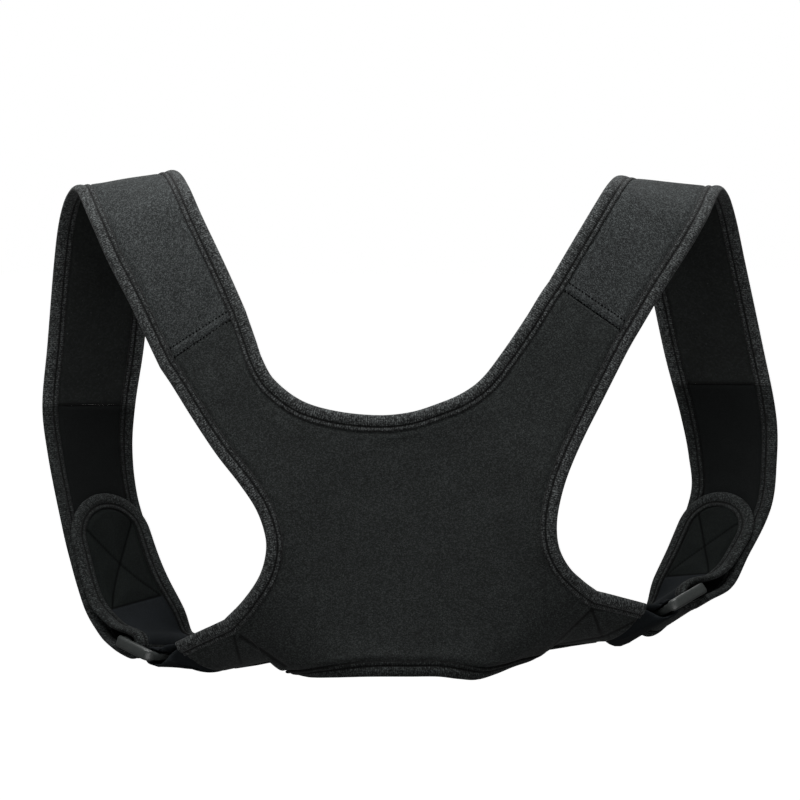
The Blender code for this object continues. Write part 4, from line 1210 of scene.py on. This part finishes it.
# Cloths. Columns: colour, loop width and pitch in metres, darkest and lightest loop, lint's brightness, scale
# and least noise, then bump, roughness, sheen and specular.
clothColumns = ("color", "width", "pitch", "low", "high", "lint", "lintScale", "lintFrom",
                "bump", "roughness", "sheen", "specular")
cloths = {
    # The straps' outer cloth is lighter and more contrasted than the panel's: painted light from above on the
    # shoulders.
    "strapOuterPaintedLight": ((0.0255, 0.0282, 0.0284), 0.00055, 0.0005, 0.35, 2.6, 1.8, 900, 0.7, 0.7, 0.9, 0.05, 0.15),
    "outerCloth": ((0.0180, 0.0202, 0.0198), 0.0006, 0.0005, 0.45, 2.1, 1.8, 900, 0.7, 0.5, 0.9, 0.05, 0.15),
    "loopCloth": ((0.0048, 0.0056, 0.0056), 0.0007, 0.0006, 0.85, 1.2, 1.2, 650, 0.78, 0.3, 0.95, 0.02, 0.1),
    "liningCloth": ((0.0135, 0.0150, 0.0145), 0.0011, 0.0010, 0.8, 1.3, 3.0, 650, 0.74, 0.4, 0.95, 0.02, 0.1),
    # The tab's cloth is smooth and bluish, and it is also made darker as painted shade on the tab.
    "smoothTabPaintedShade": ((0.0076, 0.0090, 0.0086), 0.0006, 0.0006, 0.8, 1.25, 1.2, 700, 0.72, 0.25, 0.9, 0.0, 0.04),
    "smoothBand": ((0.0092, 0.0108, 0.0122), 0.0006, 0.0006, 0.85, 1.2, 1.1, 700, 0.72, 0.15, 0.85, 0.0, 0.06),
    "threadDark": ((0.0025, 0.0028, 0.0028), 0.0004, 0.0004, 0.8, 1.2, 1.0, 500.0, 0.8, 0.1, 0.9, 0.0, 0.03),
}
cloth = {name: clothMaterial(name, dict(zip(clothColumns, row))) for name, row in cloths.items()}
tapeLook = {"color": (0.031, 0.0335, 0.0335), "width": 0.0007, "pitch": 0.0006, "low": 0.12, "high": 3.7,
            "rib": 0.0013, "ribLow": 0.55, "bump": 0.7, "sheen": 0.1}
tapeKnit = tapeMaterial("tapeKnit", tapeLook)
# A darker copy of the same tape: painted shade for the underarm and hem tapes.
tapePaintedShade = tapeMaterial("tapePaintedShade", {**tapeLook, "color": (0.0135, 0.0152, 0.0150), "sheen": 0.03})
ringPlastic = plasticMaterial()


def buildSide(name, loop, half, tables):
    makeShoulderStrap(name, loop, tables, [cloth["strapOuterPaintedLight"], cloth["liningCloth"]])
    folded = FoldedStrap(loop, tables)
    underarmCloths = [cloth[key] for key in ("outerCloth", "loopCloth", "smoothTabPaintedShade", "smoothBand")]
    makeUnderarmStrap(name, loop, folded, underarmCloths)
    makeTape("underarmTape_" + name, foldedSpine(folded), [tapePaintedShade], ["underarm_binding_" + name])
    front, seam = loop.lengthAt(tables["frontSeam"]), loop.total - sewing["seamGap"]
    armhole = joinSpines(strapSpine(loop, front, seam, -1), panelSpine(half, 0, 1, len(half.rows)))
    makeTape("armholeTape_" + name, armhole, [tapeKnit], ["armhole_binding_" + name])
    makeRingLoop(name, loop, [cloth["smoothBand"]])
    makeSeamStitches("seamStitches_" + name, loop, cloth["threadDark"])
    makeRing(name, loop, ringPlastic)


def buildObject():
    loops = {name: Loop(tables["side"], tables["loop"]) for name, tables in sides.items()}
    halves = {name: PanelHalf(loops[name], tables, sides["right" if name == "left" else "left"])
              for name, tables in sides.items()}
    makeBackPanel(list(halves.values()), [cloth["outerCloth"], cloth["liningCloth"]])
    neckEnd = panelCloth["neckSteps"] + 1
    hemStart = panelCloth["neckSteps"] + panelCloth["centreSteps"]
    necks, hems = [], []
    for name, tables in sides.items():
        loop = loops[name]
        front, seam = loop.lengthAt(tables["frontSeam"]), loop.total - sewing["seamGap"]
        necks.append(joinSpines(strapSpine(loop, front, seam, 1), panelSpine(halves[name], 1, 1, neckEnd)))
        hems.append(panelSpine(halves[name], 1, hemStart, len(halves[name].rows)))
    for name, tables in sides.items():
        buildSide(name, loops[name], halves[name], tables)
    neck, hem = joinSpines(necks[0], reverseSpine(necks[1])), joinSpines(reverseSpine(hems[0]), hems[1])
    makeTape("neckTape", neck, [tapeKnit], ["neck_binding"])
    makeTape("hemTape", hem, [tapePaintedShade], ["hem_binding"])


buildObject()


# The camera stands level with the middle of the panel and a little above it, behind the wearer's back.
camera = {"sensor": 36.0, "distance": 2.1, "rise": 4.0, "target": (-0.006, -0.008, -0.126), "picture": 0.48}


def makeCamera():
    data = bpy.data.cameras.new("camera")
    data.sensor_width = camera["sensor"]
    data.lens = camera["sensor"] * camera["distance"] / camera["picture"]
    item = bpy.data.objects.new("camera", data)
    bpy.context.scene.collection.objects.link(item)
    rise = math.radians(camera["rise"])
    away = Vector((0, -math.cos(rise), math.sin(rise)))
    item.location = Vector(camera["target"]) + away * camera["distance"]
    item.rotation_euler = (-away).to_track_quat("-Z", "Y").to_euler()
    bpy.context.scene.camera = item


lightTarget = (0, 0, -0.13)
# Lights. Columns: name, place, size and power in watts.
lights = [
    ("topLight", (-0.12, -0.26, 0.75), 0.9, 16.0),
    ("backLight", (0.3, -2.4, 0.9), 1.2, 3.0),
    ("frontLight", (0.0, 1.6, 0.9), 1.5, 8.0),
    ("lowLight", (0.0, -1.3, -0.8), 1.2, 8.0),
]


def makeLights():
    for name, spot, size, power in lights:
        data = bpy.data.lights.new(name, "AREA")
        data.size = size
        data.energy = power
        item = bpy.data.objects.new(name, data)
        item.location = spot
        item.rotation_euler = (Vector(lightTarget) - Vector(spot)).to_track_quat("-Z", "Y").to_euler()
        bpy.context.scene.collection.objects.link(item)


# Surroundings: brightness away from the camera's own rays, and the floor's half size, height and glow.
setting = {"ambient": 0.12, "floorSize": 25.0, "floorHeight": -0.9, "floorGlow": 0.9}


def makeSetting():
    # Bright even surroundings and a white floor well under the held part.
    world = bpy.data.worlds.new("surroundings")
    bpy.context.scene.world = world
    world.use_nodes = True
    tree = world.node_tree
    background = tree.nodes["Background"]
    background.inputs["Color"].default_value = (1, 1, 1, 1)
    path = tree.nodes.new("ShaderNodeLightPath")
    strength = tree.nodes.new("ShaderNodeMapRange")
    strength.inputs["To Min"].default_value = setting["ambient"]
    strength.inputs["To Max"].default_value = 1.0
    tree.links.new(path.outputs["Is Camera Ray"], strength.inputs["Value"])
    tree.links.new(strength.outputs["Result"], background.inputs["Strength"])
    mesh = bmesh.new()
    bmesh.ops.create_grid(mesh, x_segments=1, y_segments=1, size=setting["floorSize"])
    bmesh.ops.translate(mesh, verts=mesh.verts, vec=(0, 0, setting["floorHeight"]))
    data = bpy.data.meshes.new("floor")
    mesh.to_mesh(data)
    mesh.free()
    floor = bpy.data.objects.new("floor", data)
    bpy.context.scene.collection.objects.link(floor)
    material, _, shader = newMaterial("floorPaint")
    shader.inputs["Base Color"].default_value = (0.9, 0.9, 0.9, 1)
    shader.inputs["Roughness"].default_value = 0.9
    shader.inputs["Emission Color"].default_value = (1, 1, 1, 1)
    shader.inputs["Emission Strength"].default_value = setting["floorGlow"]
    data.materials.append(material)
    floor.visible_diffuse = False
    floor.visible_glossy = False


makeCamera()
makeLights()
makeSetting()
bpy.context.scene.view_settings.view_transform = "Standard"
